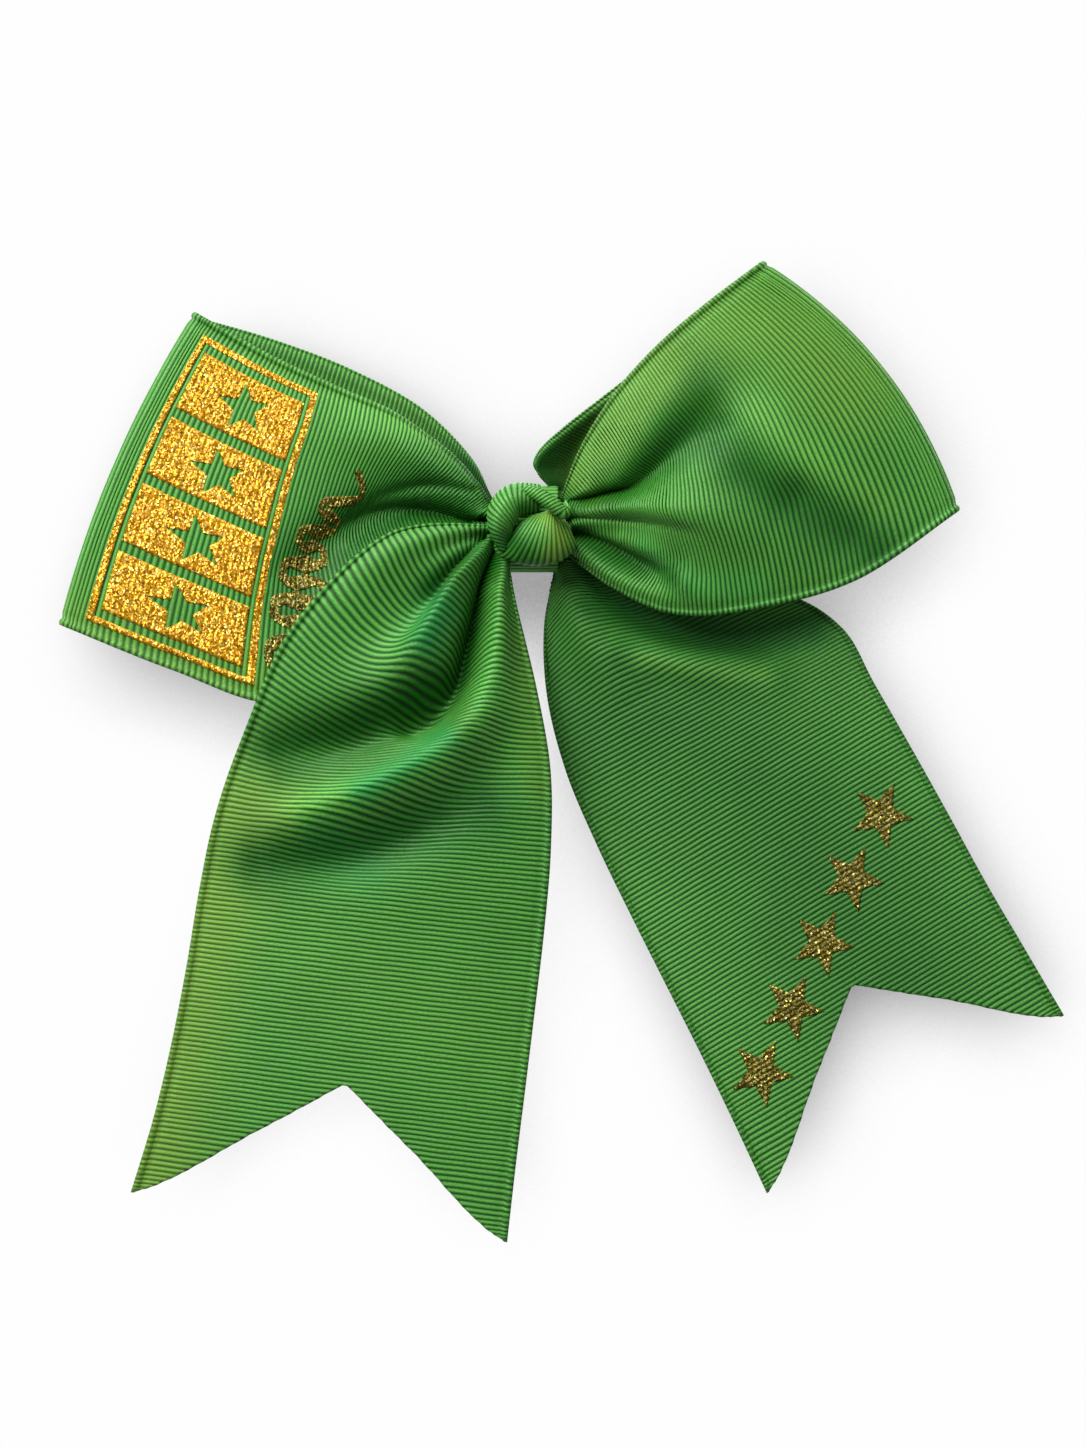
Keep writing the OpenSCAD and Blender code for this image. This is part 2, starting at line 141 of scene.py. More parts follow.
@dataclass(frozen=True)
class Crease:
    """A ridge or a valley pressed into a sheet along a route.

    Args:
        route: Points (x, z) that it follows, seen from the front.
        height: How far it stands forward at even stations of the route; negative sinks.
        width: Its half width at even stations.
        left: How much wider it is on the left of the route than on the right.
        lean: Sideways shift of its crest for each millimetre of height, to the left.
    """

    route: Route
    height: tuple[float, ...]
    width: tuple[float, ...]
    left: float = 1.0
    lean: float = 0.0

    def press(self, p: Array) -> Array:
        """Moves a grid of points.

        Args:
            p: Rows by columns by (x, y, z).

        Returns:
            How far each point moves.
        """
        t = np.linspace(0, 1, ROUTE_STEPS)
        path = spline(np.array(self.route), t)
        way = unit(np.gradient(path, axis=0))
        flat = p[..., [0, 2]].reshape(-1, 2)
        best = np.full(len(flat), np.inf)
        near = np.zeros(len(flat), int)
        for k, q in enumerate(path):
            d = ((flat - q) ** 2).sum(1)
            closer = d < best
            best[closer] = d[closer]
            near[closer] = k
        off = flat - path[near]
        w = way[near]
        along = (off * w).sum(1)
        side = w[:, 0] * off[:, 1] - w[:, 1] * off[:, 0]
        width = spline(np.array(self.width), t)[near, 0]
        height = spline(np.array(self.height), t)[near, 0]
        reach = np.where(side > 0, width * self.left, width)
        rise = height * np.exp(-((side / reach) ** 2) - (along / width) ** 2)
        move = np.zeros((len(flat), 3))
        move[:, 1] = -rise
        move[:, 0] = -w[:, 1] * rise * self.lean
        move[:, 2] = w[:, 0] * rise * self.lean
        return move.reshape(p.shape)


# ---------------------------------------------------------------- grosgrain ribbon


@dataclass(frozen=True)
class Grosgrain:
    """The cloth: its ribs, its woven edges and how finely it is meshed.

    Args:
        width: The ribbon's width.
        pitch: Spacing of its ribs.
        rib: How far a rib stands out.
        thickness: The cloth's thickness.
        steps: Rows of points for each rib.
        selvedge: Width of each woven edge.
        rim: Places of the columns in the woven edge, from 1 inwards.
        bead_pitch: Spacing of the twists in the edge's cord.
        waver: How the ribs stray: radians across the half width, radians for each millimetre
            along, and the share of a pitch.
    """

    width: float = 76.2
    pitch: float = 1.08
    rib: float = 0.17
    thickness: float = 0.46
    steps: int = 4
    selvedge: float = 1.5
    rim: tuple[float, ...] = (1.0, 0.992, 0.984, 0.975, 0.967)
    bead_pitch: float = 0.86
    waver: tuple[tuple[float, float, float], ...] = ((11, 0.31, 0.03), (27, -0.17, 0.015))

    def columns(self, count: int) -> Array:
        """Places across the ribbon from -1 to 1, closer together in the woven edges."""
        edge = 1 - self.selvedge / (self.width / 2)
        rim = np.array(self.rim)
        inner = np.linspace(-edge, edge, count)
        return np.concatenate([-rim, inner, rim[::-1]])

    def relief(self, s: Array, v: Array) -> Array:
        """Height of the ribs and the woven edges over the middle of the cloth.

        Args:
            s: Distance along the ribbon.
            v: Place across the ribbon, from -1 to 1.

        Returns:
            The height, in the same shape as s and v.
        """
        from_edge = (1 - np.abs(v)) * self.width / 2
        body = smooth_step((from_edge - self.selvedge * 0.8) / 0.5)
        waver = sum(share * np.sin(v * across + s * along) for across, along, share in self.waver)
        ribs = self.rib * np.cos(TAU * (s / self.pitch + waver))
        bead = 0.5 + 0.5 * np.cos(TAU * (s / self.bead_pitch + from_edge * 0.7))
        cord = np.exp(-(((from_edge - 0.6) / 0.45) ** 2)) * (0.1 + 0.34 * bead)
        groove = -0.22 * np.exp(-(((from_edge - self.selvedge) / 0.3) ** 2))
        return body * ribs + cord + groove


CLOTH = Grosgrain()
LOOP_LENGTH = 92.0
TAIL_LENGTH = 153.0
NOTCH_DEPTH = 30.0
TURN_RADIUS = 2.5
TUCK_SLOPE = (1.0, 0.4, 0.1)


@dataclass
class RibbonGrid:
    """A finished stretch of ribbon as a grid of points, and how it lies.

    Args:
        s: Distance along the ribbon of each row.
        v: Place across the ribbon of each column, from -1 to 1.
        points: Rows by columns by (x, y, z), the middle of the cloth.
        cut: Distance along the ribbon at which each column ends, if the end is cut.
    """

    s: Array
    v: Array
    points: Array
    cut: Array | None = None

    def __post_init__(self) -> None:
        """Works out the normals, pointing to the side that shows in front."""
        self.normals = grid_normals(self.points)
        if self.normals[: len(self.s) // 3, :, 1].mean() > 0:
            self.normals = -self.normals

    def ribbed(self) -> Array:
        """The grid with its ribs and woven edges raised."""
        s, v = np.meshgrid(self.s, self.v, indexing="ij")
        return self.points + self.normals * CLOTH.relief(s, v)[..., None]

    def spot(self, s: Array, across: Array, lift: float) -> Array:
        """Points just off the cloth's front.

        Args:
            s: Distances along the ribbon.
            across: Distances from the ribbon's middle line.
            lift: Height over the middle of the cloth.

        Returns:
            One (x, y, z) for each pair.
        """
        v = across * 2 / CLOTH.width
        row = np.clip((s - self.s[0]) / (self.s[1] - self.s[0]), 0, len(self.s) - 1.001)
        col = np.clip(np.interp(v, self.v, np.arange(len(self.v))), 0, len(self.v) - 1.001)
        i, j = np.floor(row).astype(int), np.floor(col).astype(int)
        a, b = (row - i)[..., None], (col - j)[..., None]

        def mix(g: Array) -> Array:
            """Reads a grid between its points."""
            low = g[i, j] * (1 - b) + g[i, j + 1] * b
            high = g[i + 1, j] * (1 - b) + g[i + 1, j + 1] * b
            return low * (1 - a) + high * a

        relief = CLOTH.relief(s, v)[..., None] * 0.75
        return mix(self.points) + mix(self.normals) * (lift + relief)


@dataclass
class Layer:
    """One layer of ribbon between two edges, from the knot outwards.

    Args:
        low: One edge's stations (x, y, z).
        high: The other edge's stations.
        length: The ribbon's length in this layer.
        puff: How far its middle swells forwards.
        bow: How far its outer end bows outwards.
        pleats: Number of gathers across it at the knot.
        pleat_height: Their height at the knot.
        pleat_fade: Distance in which they fade away.
        sag: Where its middle runs ahead of its edges, over what distance, and how far.
        skew: Where across the ribbon it does so most.
        slide: How far the cloth is drawn inwards for each millimetre that a crease stands up.
        creases: The folds pressed into it.
    """

    low: Edge
    high: Edge
    length: float
    puff: float = 0.0
    bow: float = 0.0
    pleats: float = 3.0
    pleat_height: float = 1.6
    pleat_fade: float = 16.0
    sag: tuple[float, float, float] = (20.0, 16.0, 0.0)
    skew: float = 0.0
    slide: float = 0.7
    creases: tuple[Crease, ...] = ()

    @staticmethod
    def edge_at(edge: Edge, t: Array) -> Array:
        """Points on an edge, which runs straight on inwards where t is below 0."""
        stations = np.array(edge, float)
        start = spline(stations, np.array([0.0, 0.02]))
        inwards = unit(start[0] - start[1])
        reach = np.maximum(-t, 0)[:, None] * LOOP_LENGTH
        return spline(stations, t) + inwards * np.array(TUCK_SLOPE) * reach

    def lay(self, s: Array, v: Array) -> Array:
        """Lays the layer out.

        Args:
            s: Distance along it of each row.
            v: Place across it of each column.

        Returns:
            Rows by columns by (x, y, z).
        """
        t = s / self.length
        low, high = self.edge_at(self.low, t), self.edge_at(self.high, t)
        across = ((1 + v) / 2)[None, :, None]
        p = low[:, None] * (1 - across) + high[:, None] * across
        side = unit(high - low)
        sign = 1.0 if low[-1, 0] > 0 else -1.0
        out = sign * np.stack([side[:, 2], 0 * side[:, 0], -side[:, 0]], axis=1)
        swell = (1 - v**2)[None, :, None]
        p = p + out[:, None] * self.bow * swell * smooth_step(t)[:, None, None]
        place, reach, amount = self.sag
        middle = np.gradient(low + high, axis=0) if len(s) > 2 else (low + high)[-1:] * 0
        middle /= np.maximum(np.linalg.norm(middle, axis=1, keepdims=True), TINY)
        drag = amount * np.exp(-(((s - place) / reach) ** 2))[:, None, None]
        p = p + middle[:, None] * drag * (swell * (1 + 2 * self.skew * v[None, :, None]))
        rise = self.puff * (1 - v**2)[None, :] * np.sin(math.pi * np.maximum(t, 0) ** 0.8)[:, None]
        fade = np.exp(-s / self.pleat_fade)[:, None]
        gather = self.pleat_height * fade * np.cos(math.pi * self.pleats * v + 0.6)[None, :]
        p[..., 1] -= rise + gather
        return p

    def press(self, p: Array) -> Array:
        """Presses the creases into laid points and returns them."""
        move = sum((c.press(p) for c in self.creases), np.zeros(p.shape))
        if len(p) > 2:
            way = unit(np.gradient(p.mean(axis=1), axis=0))
            sign = 1.0 if way[:, 0] @ p.mean(axis=1)[:, 0] > 0 or way[:, 2].mean() < -0.5 else -1.0
            move = move + sign * way[:, None] * move[..., 1:2] * self.slide
        return p + move


def mesh_from_grid(name: str, grid: RibbonGrid, thickness: float) -> bpy.types.Object:
    """Makes the cloth of a grid, with its thickness and its cut end.

    Args:
        name: The new piece's name.
        grid: The ribbon.
        thickness: The cloth's thickness.

    Returns:
        The piece, at the origin, with the ribbon's length and width as its UV map.
    """
    p = grid.ribbed() * MM
    rows, cols = p.shape[:2]
    s = np.repeat(grid.s[:, None], cols, axis=1)
    quads = grid_quads(rows, cols)
    if grid.cut is not None:
        uncut = s[:-1] < grid.cut[None] - 1e-6
        quads = quads[uncut[:, :-1] | uncut[:, 1:]]
        p, s = clamp_to_cut(p, s, grid)
    quads = quads.reshape(-1, 4)
    if grid.normals[len(grid.s) // 4, cols // 2] @ face_normal(p.reshape(-1, 3), quads[0]) < 0:
        quads = quads[:, ::-1]
    v = np.repeat((grid.v * CLOTH.width / 2)[None], rows, axis=0)
    uv = np.stack([s, v], axis=-1).reshape(-1, 2) * MM
    obj = mesh_object(name, p.reshape(-1, 3), quads, uv)
    if grid.cut is not None:
        merge(obj, 0.02 * MM)
    thicken(obj, thickness)
    return obj


def face_normal(p: Array, quad: Array) -> Array:
    """Direction a quad faces."""
    return np.cross(p[quad[1]] - p[quad[0]], p[quad[3]] - p[quad[0]])


def clamp_to_cut(p: Array, s: Array, grid: RibbonGrid) -> tuple[Array, Array]:
    """Draws the rows past a cut end back onto the cut.

    Args:
        p: Points, rows by columns.
        s: Distance along the ribbon of each point.
        grid: The ribbon, with its cut.

    Returns:
        The points and the distances, both clamped.
    """
    step = grid.s[1] - grid.s[0]
    row = (np.minimum(s, grid.cut[None]) - grid.s[0]) / step
    i = np.clip(np.floor(row).astype(int), 0, len(grid.s) - 2)
    f = np.clip(row - i, 0, 1)[..., None]
    cols = np.arange(p.shape[1])[None]
    return p[i, cols] * (1 - f) + p[i + 1, cols] * f, row * step + grid.s[0]


def mesh_object(name: str, p: Array, quads: Array, uv: Array | None = None) -> bpy.types.Object:
    """Makes an object from points and four-sided faces.

    Args:
        name: The object's name.
        p: Points, in metres.
        quads: Four point numbers a face.
        uv: A UV place for each point.

    Returns:
        The object, shaded smooth.
    """
    mesh = bpy.data.meshes.new(name)
    mesh.vertices.add(len(p))
    mesh.vertices.foreach_set("co", np.asarray(p, np.float32).ravel())
    mesh.loops.add(quads.size)
    mesh.loops.foreach_set("vertex_index", quads.astype(np.int32).ravel())
    mesh.polygons.add(len(quads))
    mesh.polygons.foreach_set("loop_start", np.arange(0, quads.size, 4, dtype=np.int32))
    mesh.polygons.foreach_set("loop_total", np.full(len(quads), 4, np.int32))
    mesh.update(calc_edges=True)
    if uv is not None:
        layer = mesh.uv_layers.new(name="ribbon")
        layer.data.foreach_set("uv", uv[quads.ravel()].astype(np.float32).ravel())
    mesh.polygons.foreach_set("use_smooth", np.ones(len(quads), bool))
    mesh.validate()
    obj = bpy.data.objects.new(name, mesh)
    bpy.context.scene.collection.objects.link(obj)
    return obj


def choose(obj: bpy.types.Object) -> None:
    """Deselects everything and makes one object active and selected."""
    for other in bpy.context.selected_objects:
        other.select_set(False)
    obj.select_set(True)
    bpy.context.view_layer.objects.active = obj


def merge(obj: bpy.types.Object, distance: float) -> None:
    """Joins points closer than a distance and drops faces with no area."""
    bm = bmesh.new()
    bm.from_mesh(obj.data)
    bmesh.ops.remove_doubles(bm, verts=bm.verts, dist=distance)
    bmesh.ops.dissolve_degenerate(bm, edges=bm.edges, dist=distance / 4)
    loose = [v for v in bm.verts if not v.link_faces]
    bmesh.ops.delete(bm, geom=loose, context="VERTS")
    bm.to_mesh(obj.data)
    bm.free()


def thicken(obj: bpy.types.Object, thickness: float, offset: float = 0.0) -> None:
    """Gives a sheet its thickness in millimetres, with closed rims."""
    wall = obj.modifiers.new("wall", "SOLIDIFY")
    wall.thickness = thickness * MM
    wall.offset = offset
    wall.use_rim = True
    choose(obj)
    bpy.ops.object.modifier_apply(modifier=wall.name)


# ---------------------------------------------------------------- finishes


class NodeTree:
    """Short ways to add and join shader nodes."""

    def __init__(self, tree: bpy.types.NodeTree) -> None:
        """Holds the tree that nodes are added to."""
        self.tree = tree

    def add(self, kind: str, **settings: object) -> bpy.types.Node:
        """Adds a node and sets its properties."""
        node = self.tree.nodes.new(kind)
        for key, value in settings.items():
            setattr(node, key, value)
        return node

    def put(self, value: object, socket: bpy.types.NodeSocket) -> None:
        """Links a socket to another, or sets its value."""
        if isinstance(value, bpy.types.NodeSocket):
            self.tree.links.new(value, socket)
        elif value is not None:
            socket.default_value = value

    def math(self, operation: str, a: object, b: object = None, c: object = None) -> object:
        """A Math node's result."""
        node = self.add("ShaderNodeMath", operation=operation)
        for value, socket in zip((a, b, c), node.inputs):
            self.put(value, socket)
        return node.outputs[0]

    def mix(self, factor: object, a: object, b: object, blend: str = "MIX") -> object:
        """A colour between two colours."""
        node = self.add("ShaderNodeMix", data_type="RGBA", blend_type=blend)
        self.put(factor, node.inputs[0])
        self.put(a, node.inputs[6])
        self.put(b, node.inputs[7])
        return node.outputs[2]

    def span(self, value: object, low: float, high: float, a: float, b: float) -> object:
        """Maps a value from low..high to a..b, held at the ends."""
        node = self.add("ShaderNodeMapRange")
        for item, socket in zip((value, low, high, a, b), node.inputs):
            self.put(item, socket)
        return node.outputs[0]

    def noise(self, vector: object, scale: float, detail: float = 2.0) -> object:
        """A noise value."""
        node = self.add("ShaderNodeTexNoise")
        self.put(vector, node.inputs["Vector"])
        self.put(scale, node.inputs["Scale"])
        self.put(detail, node.inputs["Detail"])
        return node.outputs["Fac"]

    def vector(self, x: object, y: object, z: object = 0.0) -> object:
        """A vector from three values."""
        node = self.add("ShaderNodeCombineXYZ")
        for value, socket in zip((x, y, z), node.inputs):
            self.put(value, socket)
        return node.outputs[0]

    def bump(self, height: object, distance: float, strength: float = 1.0) -> object:
        """A normal from a height."""
        node = self.add("ShaderNodeBump")
        self.put(strength, node.inputs["Strength"])
        self.put(distance, node.inputs["Distance"])
        self.put(height, node.inputs["Height"])
        return node.outputs[0]


def rgb(red: float, green: float, blue: float) -> tuple[float, float, float, float]:
    """Turns screen colour values from 0 to 255 into a linear colour."""

    def linear(c: float) -> float:
        """One channel."""
        c /= 255
        return c / 12.92 if c <= 0.04045 else ((c + 0.055) / 1.055) ** 2.4

    return linear(red), linear(green), linear(blue), 1.0


def start_material(name: str) -> tuple[bpy.types.Material, NodeTree, bpy.types.Node]:
    """Makes an empty material.

    Args:
        name: Its name.

    Returns:
        The material, its node tree and its Principled shader.
    """
    material = bpy.data.materials.new(name)
    material.use_nodes = True
    material.node_tree.nodes.clear()
    tree = NodeTree(material.node_tree)
    shader = tree.add("ShaderNodeBsdfPrincipled")
    output = tree.add("ShaderNodeOutputMaterial")
    tree.put(shader.outputs[0], output.inputs[0])
    return material, tree, shader


def start_group(
    name: str, inputs: dict[str, str], outputs: dict[str, str]
) -> tuple[bpy.types.NodeTree, NodeTree, bpy.types.Node, bpy.types.Node]:
    """Makes an empty node group.

    Args:
        name: Its name.
        inputs: Socket kinds by name.
        outputs: Socket kinds by name.

    Returns:
        The group, its node tree, its input node and its output node.
    """
    group = bpy.data.node_groups.new(name, "ShaderNodeTree")
    for label, kind in inputs.items():
        group.interface.new_socket(label, in_out="INPUT", socket_type=kind)
    for label, kind in outputs.items():
        group.interface.new_socket(label, in_out="OUTPUT", socket_type=kind)
    tree = NodeTree(group)
    return group, tree, tree.add("NodeGroupInput"), tree.add("NodeGroupOutput")


def weave_group() -> bpy.types.NodeTree:
    """Ribs and threads of grosgrain, read from the ribbon's own UV map in metres."""
    group, tree, source, out = start_group(
        "ribbon_weave",
        {"UV": "NodeSocketVector", "Pitch": "NodeSocketFloat"},
        {name: "NodeSocketFloat" for name in ("Rib", "Thread", "Height", "Mottle")},
    )
    split = tree.add("ShaderNodeSeparateXYZ")
    tree.put(source.outputs["UV"], split.inputs[0])
    s, v = split.outputs[0], split.outputs[1]
    turn = tree.math("DIVIDE", s, source.outputs["Pitch"])
    half_width = CLOTH.width / 2 * MM
    strays = []
    for across, along, share in CLOTH.waver:
        angle = tree.math("ADD", tree.math("MULTIPLY", v, across / half_width),
                          tree.math("MULTIPLY", s, along / MM))
        strays.append(tree.math("MULTIPLY", tree.math("SINE", angle), share))
    waver = tree.math("ADD", *strays)
    phase = tree.math("MULTIPLY", tree.math("ADD", turn, waver), TAU)
    rib = tree.math("MULTIPLY_ADD", tree.math("COSINE", phase), 0.5, 0.5)
    slant = tree.math("ADD", v, tree.math("MULTIPLY", s, 0.55))
    streak = tree.noise(tree.vector(tree.math("MULTIPLY", s, 5200.0),
                                    tree.math("MULTIPLY", slant, 1500.0)), 1.0, 2.0)
    fibre = tree.noise(tree.vector(tree.math("MULTIPLY", s, 14000.0),
                                   tree.math("MULTIPLY", v, 3000.0)), 1.0, 2.0)
    mottle = tree.noise(tree.vector(tree.math("MULTIPLY", s, 45.0),
                                    tree.math("MULTIPLY", v, 45.0)), 1.0, 3.0)
    thread = tree.span(streak, 0.3, 0.7, 0.0, 1.0)
    height = tree.math("ADD", tree.math("MULTIPLY", streak, 0.7), tree.math("MULTIPLY", fibre, 0.5))
    tree.put(rib, out.inputs["Rib"])
    tree.put(thread, out.inputs["Thread"])
    tree.put(height, out.inputs["Height"])
    tree.put(mottle, out.inputs["Mottle"])
    return group


@dataclass(frozen=True)
class RibbonFinish:
    """Dyed green grosgrain, with light and shade painted on its ribs and in its hollows.

    Args:
        name: The material's name.
        ridge: Colour on the ribs, where light is painted.
        valley: Colour between them, painted shade.
        hollow: Teal painted as shade where the tint is above 0.
        olive: Olive painted as light where it is below 0.
        gloss: Colour of the shine.
        roughness: How wide the shine spreads.
        shine: How strong it is.
        deepest_painted_shade: What is left of the colour where the painted shade is -1, red, green and
            blue.
    """

    name: str = "green_grosgrain"
    ridge: tuple = rgb(82, 148, 60)
    valley: tuple = rgb(0, 58, 4)
    hollow: tuple = rgb(6, 124, 62)
    olive: tuple = rgb(124, 152, 50)
    gloss: tuple = rgb(196, 246, 184)
    roughness: float = 0.42
    shine: float = 0.46
    deepest_painted_shade: tuple[float, float, float] = (0.08, 0.34, 0.08)

    def make(self, weave: bpy.types.NodeTree) -> bpy.types.Material:
        """Builds the material around the weave group."""
        material, tree, shader = start_material(self.name)
        uv = tree.add("ShaderNodeUVMap", uv_map="ribbon")
        group = tree.add("ShaderNodeGroup", node_tree=weave)
        tree.put(uv.outputs[0], group.inputs["UV"])
        tree.put(CLOTH.pitch * MM, group.inputs["Pitch"])
        rib, thread = group.outputs["Rib"], group.outputs["Thread"]
        # Light painted on the ribs' crests, in dashes along the threads, and shade painted between
        # them.
        lit = tree.math("MULTIPLY", tree.math("POWER", rib, 1.4), tree.span(thread, 0, 1, 0.7, 1.15))
        colour = tree.mix(lit, self.valley, self.ridge)
        # Teal tint painted as shade in the folds (tint above 0) and olive as light (below 0), both
        # darker between the ribs.
        tint = tree.add("ShaderNodeAttribute", attribute_name="tint").outputs["Fac"]
        shade = tree.span(rib, 0, 1, 0.35, 1.0)
        for sign, painted_tint in ((1.0, self.hollow), (-1.0, self.olive)):
            amount = tree.math("MAXIMUM", tree.math("MULTIPLY", tint, sign), 0.0)
            shaded = tree.mix(1.0, painted_tint, tree.vector(shade, shade, shade), "MULTIPLY")
            colour = tree.mix(tree.math("MULTIPLY", amount, 0.7), colour, shaded)
        # The shade attribute paints shade (below 0, down to deepest) and light (above 0, up to 1.9
        # times) over a random mottle.
        depth = tree.add("ShaderNodeAttribute", attribute_name="shade").outputs["Fac"]
        mottle_and_painted_light = tree.math("MULTIPLY", tree.span(group.outputs["Mottle"], 0.3, 0.7, 0.92, 1.08),
                          tree.span(depth, 0, 1, 1.0, 1.9))
        colour = tree.mix(1.0, colour, tree.vector(mottle_and_painted_light, mottle_and_painted_light, mottle_and_painted_light), "MULTIPLY")
        dark = tree.vector(*(tree.span(depth, -1, 0, left, 1.0) for left in self.deepest_painted_shade))
        colour = tree.mix(1.0, colour, dark, "MULTIPLY")
        tree.put(colour, shader.inputs["Base Color"])
        tree.put(tree.span(rib, 0, 1, self.roughness + 0.15, self.roughness - 0.06),
                 shader.inputs["Roughness"])
        tree.put(self.shine, shader.inputs["Specular IOR Level"])
        tree.put(self.gloss, shader.inputs["Specular Tint"])
        tree.put(tree.bump(group.outputs["Height"], 0.12 * MM), shader.inputs["Normal"])
        return material


def flake_group() -> bpy.types.NodeTree:
    """Glitter flakes: each cell has its own tilt and brightness, and a few get a painted glint."""
    group, tree, source, out = start_group(
        "glitter_flakes",
        {"Size": "NodeSocketFloat", "Tilt": "NodeSocketFloat"},
        {"Flake": "NodeSocketFloat", "Spark": "NodeSocketFloat", "Normal": "NodeSocketVector"},
    )
    place = tree.add("ShaderNodeTexCoord")
    cells = tree.add("ShaderNodeTexVoronoi")
    tree.put(place.outputs["Object"], cells.inputs["Vector"])
    tree.put(tree.math("DIVIDE", 1.0, source.outputs["Size"]), cells.inputs["Scale"])
    split = tree.add("ShaderNodeSeparateColor")
    tree.put(cells.outputs["Color"], split.inputs[0])
    flake = split.outputs[0]
    tree.put(flake, out.inputs["Flake"])
    # Spark marks the few flakes that get a painted glint.
    tree.put(tree.span(split.outputs[1], 0.86, 0.95, 0.0, 1.0), out.inputs["Spark"])
    centred = tree.add("ShaderNodeVectorMath", operation="SUBTRACT")
    tree.put(cells.outputs["Color"], centred.inputs[0])
    centred.inputs[1].default_value = (0.5, 0.5, 0.5)
    scaled = tree.add("ShaderNodeVectorMath", operation="SCALE")
    tree.put(centred.outputs[0], scaled.inputs[0])
    tree.put(source.outputs["Tilt"], scaled.inputs["Scale"])
    shape = tree.add("ShaderNodeNewGeometry")
    total = tree.add("ShaderNodeVectorMath", operation="ADD")
    tree.put(shape.outputs["Normal"], total.inputs[0])
    tree.put(scaled.outputs[0], total.inputs[1])
    unit = tree.add("ShaderNodeVectorMath", operation="NORMALIZE")
    tree.put(total.outputs[0], unit.inputs[0])
    tree.put(unit.outputs[0], out.inputs["Normal"])
    return group


@dataclass(frozen=True)
class GlitterFinish:
    """Heat-press film full of metallic flakes."""

    name: str
    deep: tuple
    body: tuple
    painted_glint: tuple
    flake: float = 0.34
    tilt: float = 1.0
    metallic: float = 0.55
    roughness: float = 0.32

    def make(self, flakes: bpy.types.NodeTree) -> bpy.types.Material:
        """Builds the material around the flake group."""
        material, tree, shader = start_material(self.name)
        group = tree.add("ShaderNodeGroup", node_tree=flakes)
        tree.put(self.flake * MM, group.inputs["Size"])
        tree.put(self.tilt, group.inputs["Tilt"])
        base = tree.mix(tree.span(group.outputs["Flake"], 0.1, 0.75, 0, 1), self.deep, self.body)
        # Those flakes are painted in a glint colour, beside the real glints from their tilts.
        tree.put(tree.mix(group.outputs["Spark"], base, self.painted_glint), shader.inputs["Base Color"])
        tree.put(self.metallic, shader.inputs["Metallic"])
        tree.put(self.roughness, shader.inputs["Roughness"])
        tree.put(group.outputs["Normal"], shader.inputs["Normal"])
        return material


@dataclass(frozen=True)
class PlainFinish:
    """A finish of one substance, with a fine grain and worn or fuzzy relief."""

    name: str
    light: tuple
    dark: tuple
    grain: float
    relief: float
    roughness: float
    metallic: float = 0.0
    stretch: tuple[float, float, float] = (1.0, 1.0, 1.0)
    sheen: float = 0.0
    subsurface: float = 0.0

    def make(self) -> bpy.types.Material:
        """Builds the material on Object coordinates."""
        material, tree, shader = start_material(self.name)
        place = tree.add("ShaderNodeTexCoord")
        mapping = tree.add("ShaderNodeMapping")
        tree.put(place.outputs["Object"], mapping.inputs["Vector"])
        mapping.inputs["Scale"].default_value = self.stretch
        grain = tree.noise(mapping.outputs[0], 1 / (self.grain * MM), 4.0)
        broad = tree.noise(place.outputs["Object"], 120.0, 2.0)
        blend = tree.math("MULTIPLY_ADD", broad, 0.4, tree.math("MULTIPLY", grain, 0.6))
        tree.put(tree.mix(tree.span(blend, 0.3, 0.7, 0, 1), self.dark, self.light),
                 shader.inputs["Base Color"])
        tree.put(tree.span(grain, 0.3, 0.7, self.roughness + 0.08, self.roughness - 0.08),
                 shader.inputs["Roughness"])
        tree.put(self.metallic, shader.inputs["Metallic"])
        tree.put(self.sheen, shader.inputs["Sheen Weight"])
        tree.put(self.subsurface, shader.inputs["Subsurface Weight"])
        tree.put(tree.bump(grain, self.relief * MM), shader.inputs["Normal"])
        return material


class Finish(Enum):
    """Names of the finishes, with the record's material slots they stand for."""

    RIBBON = "grosgrain_ribbon"
    GOLD = "gold_glitter"
    OLIVE = "olive_glitter"
    STEEL = "clip_steel"
    PIN = "pin_steel"
    SPRING = "spring_steel"
    ELASTIC = "black_elastic"
    FELT = "green_felt"
    GLUE = "hot_melt_glue"


